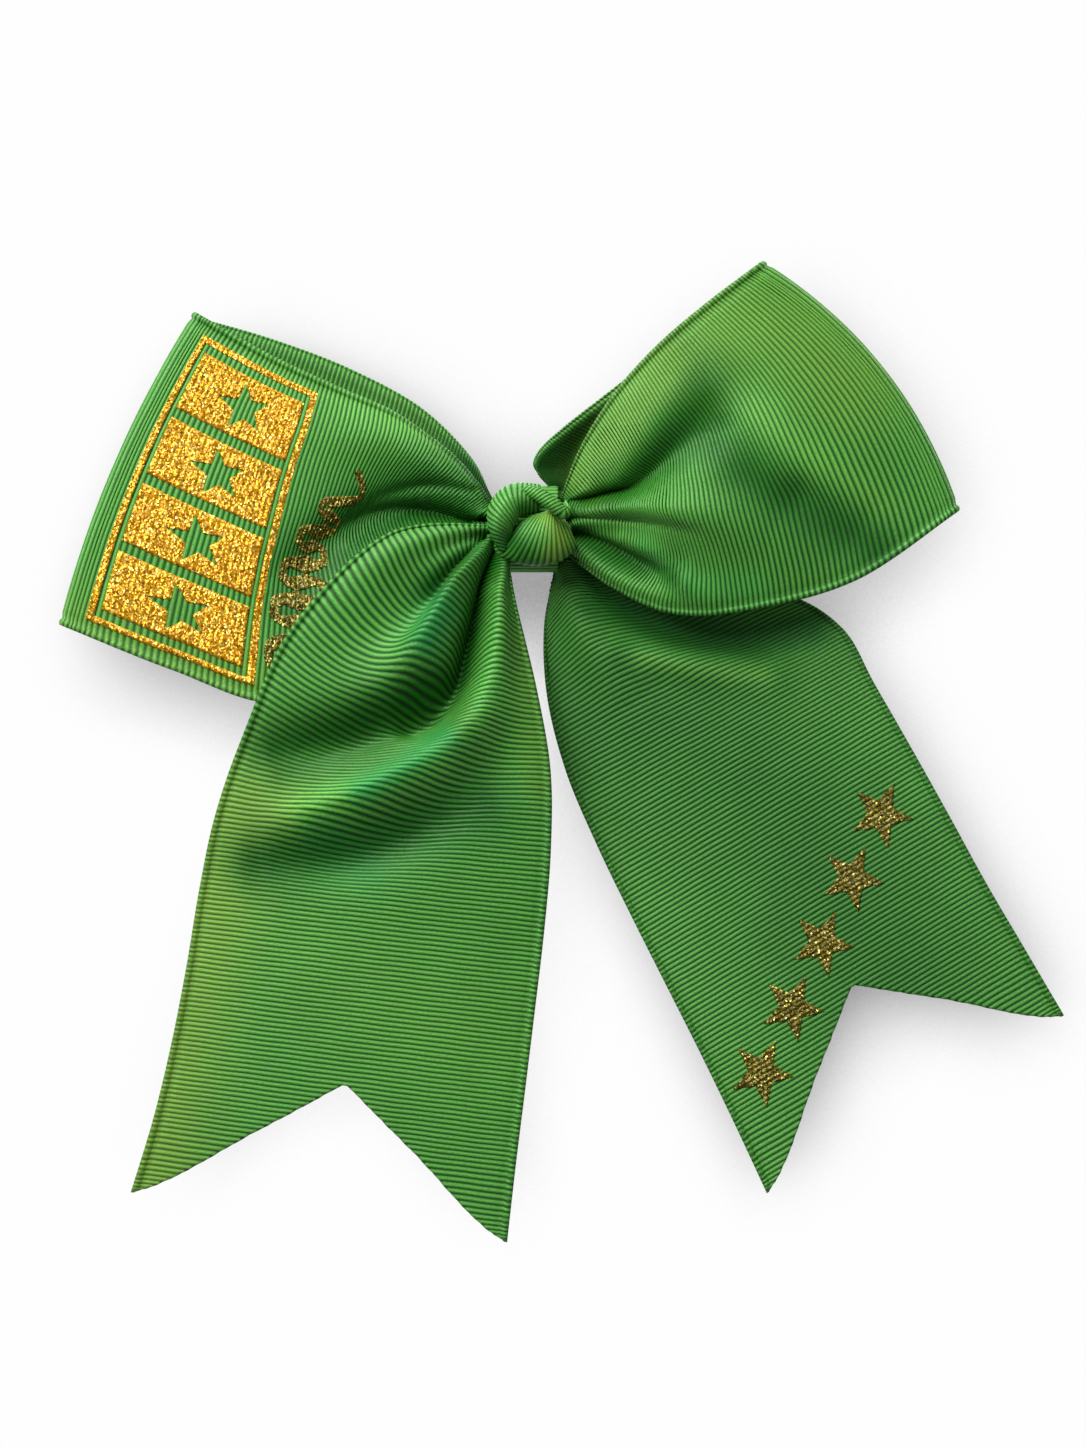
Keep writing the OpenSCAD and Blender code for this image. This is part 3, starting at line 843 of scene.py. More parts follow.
class Wardrobe:
    """Makes every finish once and dresses pieces in them."""

    def __init__(self) -> None:
        """Builds the shared groups and the materials."""
        weave, flakes = weave_group(), flake_group()
        gold = GlitterFinish("gold_flake_film", rgb(150, 100, 2), rgb(222, 160, 20), rgb(255, 240, 140))
        olive = GlitterFinish("olive_flake_film", rgb(46, 42, 2), rgb(112, 102, 20), rgb(232, 214, 110))
        plain = {
            Finish.STEEL: PlainFinish("nickel_plate", rgb(214, 216, 218), rgb(160, 162, 166),
                                      0.35, 0.01, 0.28, metallic=1.0, stretch=(0.15, 1, 1)),
            Finish.PIN: PlainFinish("drawn_steel", rgb(176, 178, 182), rgb(110, 112, 116),
                                    0.2, 0.01, 0.34, metallic=1.0, stretch=(1, 1, 0.2)),
            Finish.SPRING: PlainFinish("spring_wire", rgb(150, 152, 158), rgb(84, 86, 92),
                                       0.15, 0.008, 0.3, metallic=1.0),
            Finish.ELASTIC: PlainFinish("woven_elastic", rgb(46, 46, 50), rgb(14, 14, 16),
                                        0.18, 0.06, 0.75, sheen=0.2, stretch=(1, 0.3, 0.3)),
            Finish.FELT: PlainFinish("wool_felt", rgb(58, 112, 50), rgb(22, 62, 20),
                                     0.22, 0.16, 0.95, sheen=0.5),
            Finish.GLUE: PlainFinish("cooled_glue", rgb(242, 234, 208), rgb(214, 200, 160),
                                     1.1, 0.05, 0.3, subsurface=0.25),
        }
        self.materials = {finish: style.make() for finish, style in plain.items()}
        self.materials[Finish.RIBBON] = RibbonFinish().make(weave)
        self.materials[Finish.GOLD] = gold.make(flakes)
        self.materials[Finish.OLIVE] = olive.make(flakes)

    def dress(self, obj: bpy.types.Object, finish: Finish) -> None:
        """Gives an object its material."""
        obj.data.materials.clear()
        obj.data.materials.append(self.materials[finish])


def log_piece(obj: bpy.types.Object) -> None:
    """Writes a piece's name and its number of triangles to the log."""
    obj.data.calc_loop_triangles()
    LOG.info("%s: %d triangles", obj.name, len(obj.data.loop_triangles))


# ---------------------------------------------------------------- the ribbon's edges

LEFT_FRONT_TOP: Edge = (
    (-9.5, -10.5, 4.5), (-15.5, -11, 13.5), (-27.5, -12, 23.2),
    (-42.5, -12, 30.8), (-57.3, -10.5, 38), (-72.3, -8.5, 46.6),
)
LEFT_FRONT_BOTTOM: Edge = (
    (-9.5, -10.5, -3), (-20.5, -10.8, -15.5), (-37, -12, -28),
    (-56, -11.5, -38), (-79, -10, -30.8), (-101.8, -8.5, -21.7),
)
LEFT_BACK_TOP: Edge = (
    (-9, -7.5, 6.5), (-13.8, -6.6, 16), (-25, -5.2, 27.2),
    (-41, -4, 36), (-57.5, -3.6, 42.3), (-72.3, -3.5, 46.6),
)
LEFT_BACK_BOTTOM: Edge = (
    (-12, -6.8, -3), (-22, -6, -14), (-37, -5, -25.5),
    (-56, -4, -35.5), (-79, -3.6, -29.8), (-101.8, -3.5, -21.7),
)
RIGHT_FRONT_TOP: Edge = (
    (6, -14, 6), (10.5, -15, 17.5), (17.8, -16, 29.2),
    (27, -16, 39.5), (37.4, -14.5, 48.6), (48.2, -13, 56.9),
)
RIGHT_FRONT_BOTTOM: Edge = (
    (7.5, -14, -5.5), (17.5, -14.8, -12.8), (31.5, -16, -18.8),
    (50, -16, -17.3), (71, -14.5, -11), (91.1, -13, 2.6),
)
RIGHT_BACK_TOP: Edge = (
    (5.5, -11, 8), (2, -11.2, 14.5), (8, -10.8, 22.3),
    (20, -9.6, 32.6), (34.3, -8.6, 44.8), (48.2, -8, 56.9),
)
RIGHT_BACK_BOTTOM: Edge = (
    (9, -9.8, -3), (20, -9.3, -11), (34, -9, -16.5),
    (50, -8.8, -15.5), (70, -8.4, -9.8), (91.1, -8, 2.6),
)
LEFT_TAIL_OUTER: Edge = (
    (-9.5, -14, 0.3), (-31, -18, -1.6), (-51.5, -18.8, -21), (-61.8, -18.3, -42.5),
    (-68.7, -17, -62), (-72.4, -15.5, -78.5), (-75.3, -14.5, -95.3),
    (-78.6, -14, -112), (-82.6, -13.7, -128.5), (-87.6, -13.5, -144.8),
)
LEFT_TAIL_INNER: Edge = (
    (-6, -14.5, -5.5), (-3.6, -16.5, -17.5), (0.7, -17.5, -35.2), (3.7, -17, -52.5),
    (3.8, -16, -70), (2.4, -15, -87.3), (0.4, -14.5, -104.5),
    (-1.7, -14, -121.8), (-3.8, -13.7, -138.8), (-5.7, -13.5, -155.7),
)
RIGHT_TAIL_INNER: Edge = (
    (5.5, -8, -8), (2.7, -7, -20.5), (3.2, -6.2, -36.5), (7.3, -5.6, -53),
    (14, -5, -69), (21.6, -4.6, -84.7), (29.3, -4.2, -100),
    (37, -4, -115.3), (44.5, -3.8, -130.8), (51.7, -3.8, -146.3),
)
RIGHT_TAIL_OUTER: Edge = (
    (10, -8.2, -4.2), (31, -6.2, -11), (55, -5.8, -14), (68, -5.2, -21.5),
    (75.3, -4.8, -34), (83.5, -4.4, -48.2), (91.8, -4.2, -63),
    (100, -4, -77.9), (108.6, -3.8, -92.5), (117.2, -3.8, -107.1),
)


# ---------------------------------------------------------------- loops and tails


HOLLOW_STEPS = 24


def paint_shade_and_light(obj: bpy.types.Object, hollows: Hollows) -> None:
    """Stores on each point its painted shade and light: a teal (shade) or olive (light) tint, and how
    light or dark.

    Args:
        obj: A ribbon piece.
        hollows: Routes seen from the front, each with its painted tint, painted shade and width.
    """
    count = len(obj.data.vertices)
    co = np.empty(count * 3, np.float32)
    obj.data.vertices.foreach_get("co", co)
    # The paint goes by place seen from the front, so every layer under a route gets it.
    place = co.reshape(-1, 3)[:, [0, 2]] / MM
    paint = {name: {True: np.zeros(count), False: np.zeros(count)} for name in ("tint", "shade")}
    for route, tint, shade, width in hollows:
        path = spline(np.array(route), np.linspace(0, 1, HOLLOW_STEPS))
        far = np.min([((place - q) ** 2).sum(1) for q in path], axis=0)
        spread = np.exp(-far / width**2)
        for name, amount in (("tint", tint), ("shade", shade)):
            stronger = np.maximum if amount > 0 else np.minimum
            paint[name][amount > 0] = stronger(paint[name][amount > 0], amount * spread)
    for name, parts in paint.items():
        layer = obj.data.attributes.new(name, "FLOAT", "POINT")
        layer.data.foreach_set("value", (parts[True] + parts[False]).astype(np.float32))


@dataclass
class RibbonPart:
    """A stretch of ribbon that curves out of the knot.

    Args:
        name: The CAD node it replaces.
        hinge: Not used. Where it would start to follow its own body, and where it would do so fully.
        columns: Columns across the middle of the cloth.
        tuck: How far it runs in under the knot.
        hollows: Routes along which shade and light are painted: how teal (above 0) or olive (below 0),
        how light (above 0) or dark (below 0), and how wide.
    """

    name: str
    hinge: tuple[tuple[float, float, float], tuple[float, float, float]]
    columns: int = 50
    tuck: float = 9.0
    hollows: Hollows = ()
    grid: RibbonGrid | None = field(default=None, init=False)

    def lay(self) -> RibbonGrid:
        """Lays the ribbon out; each kind of part has its own way."""
        raise NotImplementedError

    def flat_length(self) -> float:
        """Length of the ribbon in this part, laid flat."""
        raise NotImplementedError

    def flat_area(self) -> float:
        """Area of the ribbon in this part, laid flat."""
        return CLOTH.width * self.flat_length()

    def films(self) -> list[Film]:
        """The glitter film on this part, if any."""
        return []

    def build(self, wardrobe: Wardrobe) -> bpy.types.Object:
        """Makes the part and dresses it.

        Args:
            wardrobe: The finishes.

        Returns:
            The finished piece.
        """
        self.grid = self.lay()
        obj = mesh_from_grid(f"{self.name}_cloth", self.grid, CLOTH.thickness)
        paint_shade_and_light(obj, self.hollows)
        wardrobe.dress(obj, Finish.RIBBON)
        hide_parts(self.name)
        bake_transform(obj)
        log_piece(obj)
        return obj


@dataclass
class LoopPart(RibbonPart):
    """A loop: out in front, round a fold and back behind."""

    front: Layer | None = None
    back: Layer | None = None

    def flat_length(self) -> float:
        """Both layers, the fold between them and the tucked ends."""
        return 2 * (LOOP_LENGTH + self.tuck) + math.pi * TURN_RADIUS

    def lay(self) -> RibbonGrid:
        """Lays out the front layer, the fold and the back layer."""
        turn = math.pi * TURN_RADIUS
        s = np.arange(-self.tuck, 2 * LOOP_LENGTH + turn + self.tuck, CLOTH.pitch / CLOTH.steps)
        v = CLOTH.columns(self.columns)
        ahead, behind = s[s <= LOOP_LENGTH], s[s >= LOOP_LENGTH + turn]
        round_it = s[(s > LOOP_LENGTH) & (s < LOOP_LENGTH + turn)]
        first = self.front.press(self.front.lay(ahead, v))
        last = self.back.press(self.back.lay(2 * LOOP_LENGTH + turn - behind, v))
        tip, heel = first[-1], last[0]
        away = unit(tip - first[-3 * CLOTH.steps])
        angle = ((round_it - LOOP_LENGTH) / TURN_RADIUS)[:, None, None]
        middle, half = (tip + heel) / 2, (tip - heel) / 2
        bend = middle + half * np.cos(angle) + away * TURN_RADIUS * np.sin(angle)
        return RibbonGrid(s, v, np.concatenate([first, bend, last]))


@dataclass
class TailPart(RibbonPart):
    """A tail that hangs from the knot and ends in a V notch."""

    layer: Layer | None = None

    def flat_length(self) -> float:
        """The tail and its tucked end."""
        return TAIL_LENGTH + self.tuck

    def flat_area(self) -> float:
        """The strip without its notch."""
        return CLOTH.width * (self.flat_length() - NOTCH_DEPTH / 2)

    def lay(self) -> RibbonGrid:
        """Lays the tail out and marks where its notch cuts each column."""
        s = np.arange(-self.tuck, TAIL_LENGTH + 0.5, CLOTH.pitch / CLOTH.steps)
        v = CLOTH.columns(self.columns)
        points = self.layer.press(self.layer.lay(s, v))
        return RibbonGrid(s, v, points, TAIL_LENGTH - NOTCH_DEPTH * (1 - np.abs(v)))


# ---------------------------------------------------------------- film

CUT_STEP = 0.3
FILM_STEP = 0.75
CLEARANCE = 0.12
FILM_LIFT = 0.04
FILM_THICKNESS = 0.12
STAR_WAIST = 0.42


def polar(radius: float, angle: float) -> tuple[float, float]:
    """A point from its distance and its angle in degrees."""
    return radius * math.cos(math.radians(angle)), radius * math.sin(math.radians(angle))


def box_outline(width: float, height: float) -> list[tuple[float, float]]:
    """Corners of an upright rectangle about the origin."""
    w, h = width / 2, height / 2
    return [(-w, -h), (w, -h), (w, h), (-w, h)]


def star_outline(radius: float, waist: float, first: float) -> list[tuple[float, float]]:
    """Corners of a five-pointed star, its first tip at an angle in degrees."""
    return [polar(radius if j % 2 == 0 else radius * waist, 36 * j + first) for j in range(10)]


def inside(points: Array, outline: list[tuple[float, float]]) -> Array:
    """Tells which points lie inside an outline."""
    hit = np.zeros(len(points), bool)
    x, y = points.T
    for (ax, ay), (bx, by) in zip(outline, outline[1:] + outline[:1]):
        crosses = (ay > y) != (by > y)
        with np.errstate(divide="ignore", invalid="ignore"):
            at = (bx - ax) * (y - ay) / (by - ay) + ax
        hit ^= crosses & (x < at)
    return hit


@dataclass
class Film:
    """Glitter film pressed onto a ribbon.

    Args:
        name: The CAD node it replaces.
        body: The body it moves with.
        finish: Its finish.
        centre: Where it sits, along and across the ribbon.
        outline: Its cut edge around that centre.
        holes: The edges of its holes.
        flat: Not used. Its width and length, in millimetres.
        area: Not used. Its flat area in square millimetres, or 0 for a trim too narrow to count as a
            sheet.
    """

    name: str
    body: str
    finish: Finish
    centre: tuple[float, float]
    outline: list[tuple[float, float]]
    holes: list[list[tuple[float, float]]]
    flat: tuple[float, float]
    area: float

    def border(self) -> tuple[list[tuple[float, float]], list[tuple[int, int]]]:
        """Points along the cut edges, and the pairs of them that are joined."""
        points: list[tuple[float, float]] = []
        edges: list[tuple[int, int]] = []
        for ring in (self.outline, *self.holes):
            first = len(points)
            for a, b in zip(ring, ring[1:] + ring[:1]):
                cuts = max(1, round(math.dist(a, b) / CUT_STEP))
                points += [(a[0] + (b[0] - a[0]) * k / cuts, a[1] + (b[1] - a[1]) * k / cuts)
                           for k in range(cuts)]
            last = len(points)
            edges += [(k, k + 1 if k + 1 < last else first) for k in range(first, last)]
        return points, edges

    def covers(self, points: Array) -> Array:
        """Tells which points the film covers."""
        keep = inside(points, self.outline)
        for hole in self.holes:
            keep &= ~inside(points, hole)
        return keep

    def cut(self) -> tuple[Array, list[list[int]]]:
        """Cuts the film flat.

        Returns:
            Its points along and across the ribbon, and its faces.
        """
        points, edges = self.border()
        corners = np.array(self.outline)
        low, high = corners.min(0), corners.max(0)
        along = np.arange(low[0], high[0], CLOTH.pitch / 5)
        across = np.arange(low[1], high[1], FILM_STEP)
        inner = np.stack(np.meshgrid(along, across, indexing="ij"), axis=-1).reshape(-1, 2)
        border = np.array(points)
        inner = inner[self.covers(inner)]
        apart = np.array([((border - q) ** 2).sum(1).min() for q in inner]) > CLEARANCE**2
        points += [tuple(q) for q in inner[apart]]
        verts, _, faces, *_ = delaunay_2d_cdt([Vector(p) for p in points], edges, [], 0, 1e-5)
        flat = np.array([tuple(v) for v in verts])
        middle = np.array([flat[list(f)].mean(0) for f in faces])
        return flat, [f for f, ok in zip(faces, self.covers(middle)) if ok]

    def build(self, ribbon: RibbonPart, cloth: bpy.types.Object, wardrobe: Wardrobe) -> None:
        """Cuts the film, lays it on the ribbon and dresses it.

        Args:
            ribbon: The part that it lies on.
            cloth: That part's finished piece.
            wardrobe: The finishes.
        """
        flat, faces = self.cut()
        place = ribbon.grid.spot(flat[:, 0] + self.centre[0], flat[:, 1] + self.centre[1],
                                 CLOTH.thickness / 2 + FILM_LIFT)
        mesh = bpy.data.meshes.new(f"{self.name}_film")
        mesh.from_pydata(place * MM, [], faces)
        obj = bpy.data.objects.new(mesh.name, mesh)
        bpy.context.scene.collection.objects.link(obj)
        self.face_forwards(obj)
        merge(obj, 0.002 * MM)
        thicken(obj, FILM_THICKNESS, offset=1.0)
        obj.data.polygons.foreach_set("use_smooth", np.ones(len(obj.data.polygons), bool))
        wardrobe.dress(obj, self.finish)
        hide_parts(self.name)
        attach(obj, self.body)
        log_piece(obj)

    @staticmethod
    def face_forwards(obj: bpy.types.Object) -> None:
        """Turns the film so that it faces the front."""
        mesh = obj.data
        facing = sum(p.normal.y * p.area for p in mesh.polygons)
        if facing > 0:
            mesh.flip_normals()


# ---------------------------------------------------------------- the bow's soft parts


class LeftLoop(LoopPart):
    """The loop on the left, with the badge and the flourish."""

    def __init__(self) -> None:
        """Sets its shape."""
        front = Layer(
            LEFT_FRONT_BOTTOM, LEFT_FRONT_TOP, LOOP_LENGTH, puff=0.8, bow=3.0, sag=(18, 20, 8),
            pleats=2.6, pleat_height=1.3, pleat_fade=9.0,
            creases=(
                Crease(((-9.5, 0.8), (-20, 3.2), (-31, 2), (-43, -5), (-54, -17)),
                       (-1.6, -4.2, -4.6, -3.6, -0.8), (0.7, 1.9, 4.2, 6.5, 8), lean=0.3),
                Crease(((-11, 5), (-20, 12), (-33, 19), (-48, 22)),
                       (1.2, 3.0, 3.0, 0.8), (2, 4.2, 6.5, 9)),
                Crease(((-11, -1.5), (-22, -2.8), (-36, -11), (-50, -24)),
                       (1.2, 2.6, 2.4, 0.6), (1.2, 2.6, 4.5, 7)),
                Crease(((-14, 8), (-24, 9.5), (-36, 6)), (-0.8, -1.5, -0.4), (0.8, 1.3, 2.2)),
                Crease(((-13, 11), (-19, 18.5), (-30, 25)), (-0.7, -1.2, -0.3), (0.8, 1.3, 2.2)),
            ),
        )
        back = Layer(LEFT_BACK_BOTTOM, LEFT_BACK_TOP, LOOP_LENGTH, bow=3.0,
                     pleats=2.4, pleat_height=1.0, pleat_fade=10.0)
        super().__init__(
            "left_loop", ((-9, -8, 0), (-20, -8, 0)), columns=50, front=front, back=back,
            # Shade painted along the valleys that run out from the knot, light and olive painted along
            # the top edge, olive along the bottom edge.
            hollows=(
                (((-11, 1), (-20, 3.2), (-31, 2), (-43, -5), (-52, -16)), 0.15, -0.9, 6.5),
                (((-28, 2.5), (-36, -1.5), (-44, -8)), 0.0, -1.0, 4.0),
                (((-14, 6), (-26, 9), (-40, 4), (-52, -8)), 0.25, -0.75, 7.0),
                (((-26, -4), (-36, -8), (-46, -18)), 0.1, -0.8, 7.0),
                (((-22, 22), (-38, 30), (-60, 38)), -0.1, 0.15, 6.0),
                (((-60, -34), (-80, -30), (-100, -22)), -0.3, 0.0, 9.0),
            ),
        )

    def films(self) -> list[Film]:
        """The badge's pieces and the flourish."""
        plate_w, plate_h, plates = 24.0, 14.0, 4
        middle = 0.805 * LOOP_LENGTH
        border = 1.5
        width, height = plate_w + 5, plates * plate_h + 13.5
        hole = box_outline(width - 2 * border, height - 2 * border)
        films = [Film("badge_outline", "left_loop", Finish.GOLD, (middle, 0.0),
                      box_outline(width, height), [hole], (width, height), 0.0)]
        pitch = (plates * plate_h + 9) / plates
        star = star_outline(plate_h * 0.4, STAR_WAIST, 0)
        for i in range(plates):
            films.append(Film(f"badge_plate_{i + 1}", "left_loop", Finish.GOLD,
                              (middle, (i - (plates - 1) / 2) * pitch),
                              box_outline(plate_w, plate_h), [star],
                              (plate_w, plate_h), 0.88 * plate_w * plate_h))
        return [*films, self.flourish()]

    @staticmethod
    def flourish() -> Film:
        """The wavy stroke beside the badge, broad where it runs along the ribbon."""
        path = np.array([[6, -31], [7, -25], [-3, -22], [7, -16], [-4, -13], [6, -7], [-5, -4],
                         [4, 2], [-7, 4], [1, 10], [-9, 13], [-5, 20]])
        t = np.linspace(0, 1, 200)
        line = spline(path, t)
        way = unit(np.gradient(line, axis=0))
        thin, broad = 0.8, 2.6 - 1.7 * t
        half = (thin + broad * np.abs(way[:, 0]) ** 2 * np.sin(math.pi * t) ** 0.5)[:, None]
        side = np.stack([-way[:, 1], way[:, 0]], axis=1) * half
        edge = [tuple(p) for p in np.concatenate([line - side, (line + side)[::-1]])]
        return Film("badge_flourish", "left_loop", Finish.OLIVE, (0.545 * LOOP_LENGTH, 0.0),
                    edge, [], (22, 52), 0.0)


class RightLoop(LoopPart):
    """The loop on the right, which stands further forward."""

    def __init__(self) -> None:
        """Sets its shape."""
        front = Layer(
            RIGHT_FRONT_BOTTOM, RIGHT_FRONT_TOP, LOOP_LENGTH, puff=6.0, bow=6.5,
            sag=(18, 18, 5), skew=-0.2,
            pleats=3.0, pleat_height=1.5, pleat_fade=10.0,
            creases=(
                Crease(((7.2, 5.2), (14, 6.2), (21, 7.8), (31, 16), (44, 27)),
                       (-1.8, -3.6, -4.4, -3.6, -0.8), (0.7, 1.2, 2.2, 4.6, 8), lean=-0.3),
                Crease(((8, 3.2), (20, 4.4), (34, 3), (52, -2)),
                       (1.2, 2.2, 2.2, 0.5), (1.2, 2.0, 4, 8)),
                Crease(((8.5, 2.2), (22, 1.2), (36, -1)), (-0.7, -0.9, -0.2), (0.5, 0.6, 1.2)),
                Crease(((9, -0.6), (15, -4.5), (22, -8), (34, -11)),
                       (-1.6, -3.8, -3.8, -0.8), (0.8, 1.7, 2.8, 5)),
                Crease(((20, -3), (30, -10), (38, -16)), (0.8, 1.8, 0.6), (2, 2.6, 3)),
                Crease(((9, -4), (18, -10.5), (28, -16)), (1.0, 1.6, 0.6), (1.0, 1.8, 2.5)),
                Crease(((58.5, 6.4), (69.4, -0.2)), (-1.8, -1.4), (5, 6)),
                Crease(((41, 29.3), (56, 15), (71.6, -0.2)), (0.6, 1.8, 0.8), (5, 6, 5)),
            ),
        )
        back = Layer(RIGHT_BACK_BOTTOM, RIGHT_BACK_TOP, LOOP_LENGTH, bow=6.5,
                     pleats=2.4, pleat_height=1.0, pleat_fade=9.0,
                     creases=(
                         Crease(((4, 10), (2.2, 14.5), (8, 22), (19, 31.5)),
                                (1.5, 2.6, 2.4, 0.6), (1.6, 2.2, 2.4, 2.0)),
                         Crease(((8, 12), (9, 18), (16, 26)), (-0.8, -1.4, -0.6), (2, 2.5, 3)),
                     ))
        super().__init__(
            "right_loop", ((9, -11, 0), (20, -11, 0)), columns=50, front=front, back=back,
            # Shade painted along the valleys from the knot and across the loop, light painted on two
            # ridges, olive painted on the upper lobe, which faces the light.
            hollows=(
                (((8, 5.3), (14, 6.3), (21, 8), (31, 16), (40, 23)), 0.1, -0.85, 4.5),
                (((16, 8), (26, 15), (34, 24), (38, 30)), 0.1, -0.85, 7.5),
                (((30, 20), (40, 17), (50, 9), (62, 2), (74, -3.5)), 0.3, -0.8, 6.0),
                (((10, -1.5), (15, -5), (22, -8), (30, -10)), 0.25, -0.8, 2.8),
                                (((24, -5), (34, -12), (48, -13)), 0.35, 0.3, 3.6),
                (((12, 10), (20, 23), (31, 37)), -0.62, -0.3, 6.5),
                (((44, 30), (58, 17), (76, 4)), -0.15, 0.25, 4.5),
                (((30, 36), (50, 44), (68, 32)), -0.4, 0.0, 12.0),
            ),
        )


class LeftTail(TailPart):
    """The tail on the left, in front of the other."""

    def __init__(self) -> None:
        """Sets its shape."""
        layer = Layer(
            LEFT_TAIL_OUTER, LEFT_TAIL_INNER, TAIL_LENGTH, puff=2.5, sag=(30, 24, 7), skew=-0.25,
            pleats=2.2, pleat_height=1.2, pleat_fade=12.0,
            creases=(
                Crease(((-10, -0.6), (-22, -3), (-34, -9), (-45, -21)),
                       (0.8, 2.0, 1.8, 0.6), (1.2, 2.6, 5, 7)),
                Crease(((-9.2, -2), (-14, -6.5), (-21, -13.5), (-30, -21)),
                       (-1.2, -2.8, -3.2, -0.8), (0.8, 1.8, 3.6, 6)),
                Crease(((-8.8, -3.0), (-13.2, -9.8), (-17.8, -18.5), (-22.5, -27), (-30, -35)),
                       (1.6, 3.8, 4.8, 4.2, 1.2), (0.9, 2.0, 3.2, 4.6, 7), lean=-0.55),
                Crease(((-7.9, -4.6), (-10.6, -13), (-13.2, -23.6), (-16.8, -34), (-25, -41)),
                       (-2.0, -5.0, -6.0, -5.4, -3.4), (0.5, 1.0, 1.6, 2.4, 4.0), left=1.4),
                Crease(((-23, -38), (-38, -44), (-58, -48)), (-3.8, -4.6, -1.0), (4, 5.2, 7)),
                Crease(((-6.8, -6), (-8, -14), (-8.2, -24), (-9, -34), (-13, -44)),
                       (1.2, 3.0, 3.8, 3.2, 1.6), (0.8, 1.8, 3.2, 4.4, 6)),
                Crease(((-54, -63), (-36, -58.5), (-19, -50), (-7, -40)),
                       (0.6, 3.6, 3.8, 1.0), (4.2, 4.2, 4.6, 5)),
                Crease(((-58, -72), (-41, -70), (-26, -65), (-11, -57)),
                       (-0.8, -3.0, -2.8, -0.8), (5, 6.5, 6, 6)),
            ),
        )
        super().__init__(
            "left_tail", ((-8, -12, -7), (-12, -14, -17)), columns=70, layer=layer,
            # Shade painted in the valleys between the rolls, light painted on their crests, teal
            # painted in the hollows and olive along the outer edge, which faces the light.
            hollows=(
                (((-8.4, -7), (-10.8, -14), (-13.5, -25), (-17.5, -35), (-27, -40.5)), 0.05, -1.0, 3.3),
                (((-20, -34.5), (-36, -42), (-56, -48)), 0.0, -1.0, 7.0),
                (((-30, -44), (-42, -49), (-55, -52)), 0.0, -0.85, 5.0),
                (((-9.5, -3), (-15, -7.5), (-22, -13)), 0.2, -0.75, 3.4),
                (((-20, -16), (-23, -24)), 1.0, 0.0, 4.6),
                (((-19, -45.5), (-28, -51.5), (-37, -56.5)), 1.0, 0.15, 3.2),
                (((-46, -70), (-36, -73)), 0.8, -0.3, 6.0),
                (((-60, -73), (-41, -71), (-26, -67), (-11, -61)), 0.4, -0.95, 6.5),
                (((-52, -62), (-36, -58), (-20, -51)), -0.1, 0.5, 3.6),
                (((-62, -60), (-74, -95), (-84, -140)), -0.7, 0.0, 12.0),
                (((-9, -14), (-9.5, -28), (-12, -38)), 0.1, 0.45, 2.6),
                (((-2, -24), (0, -40), (1, -56)), -0.3, -0.25, 3.5),
                (((-60, -90), (-40, -100), (-10, -110)), -0.1, 0.1, 16.0),
            ),
        )


class RightTail(TailPart):
    """The tail on the right, with five stars."""

    def __init__(self) -> None:
        """Sets its shape."""
        layer = Layer(
            RIGHT_TAIL_INNER, RIGHT_TAIL_OUTER, TAIL_LENGTH, puff=1.0, sag=(20, 18, -4), skew=-0.3,
            pleats=1.6, pleat_height=0.7, pleat_fade=12.0,
            creases=(
                Crease(((6.5, -9), (10.5, -17), (15, -27), (23, -38)),
                       (0.8, 2.2, 1.9, 0.4), (1.6, 4.2, 6, 8)),
                Crease(((13, -12), (25, -19), (42, -23), (60, -24)),
                       (-0.9, -2.2, -1.8, -0.5), (1.6, 3.2, 4, 5)),
                Crease(((20, -27), (34, -30), (52, -31.5)), (0.7, 1.6, 0.6), (3.4, 3.6, 5)),
            ),
        )
        super().__init__(
            "right_tail", ((5, -7, -6), (9, -6, -18)), columns=70, layer=layer,
            # Teal shade painted in the valley under the loop, light painted on a ridge below it, shade
            # painted broadly over the lower tail.
            hollows=(
                (((13, -12), (26, -19), (46, -24), (62, -22)), 0.6, -0.65, 4.6),
                (((24, -28.5), (38, -31), (50, -32)), -0.2, 0.55, 2.8),
                (((6, -16), (5, -30), (8, -44)), 0.2, 0.12, 3.4),
                (((22, -42), (52, -58), (78, -96)), 0.12, -0.68, 28.0),
                (((12, -16), (30, -23.5), (50, -26)), 0.3, -0.7, 4.5),
            ),
        )

    def films(self) -> list[Film]:
        """The five stars that climb across the tail."""
        stars, radius = 5, 7.6
        step_along, step_across = 8.85, 13
        size = 2 * radius
        films = []
        for i in range(stars):
            along = TAIL_LENGTH - 23.5 - step_along * i
            across = 10.5 + step_across * i - CLOTH.width / 2
            films.append(Film(f"tail_star_{i + 1}", "right_tail", Finish.OLIVE, (along, across),
                              star_outline(radius, STAR_WAIST, 54), [], (size, size),
                              0.36 * size**2))
        return films


# ---------------------------------------------------------------- knot

GATHER_MID = -9.7
GATHER_DEPTH = 8.0
GATHER_HEIGHT = 15.0
GATHER_RADIUS = 2.5
KNOT_Y = -19.7
ROLL_RIB = 0.12


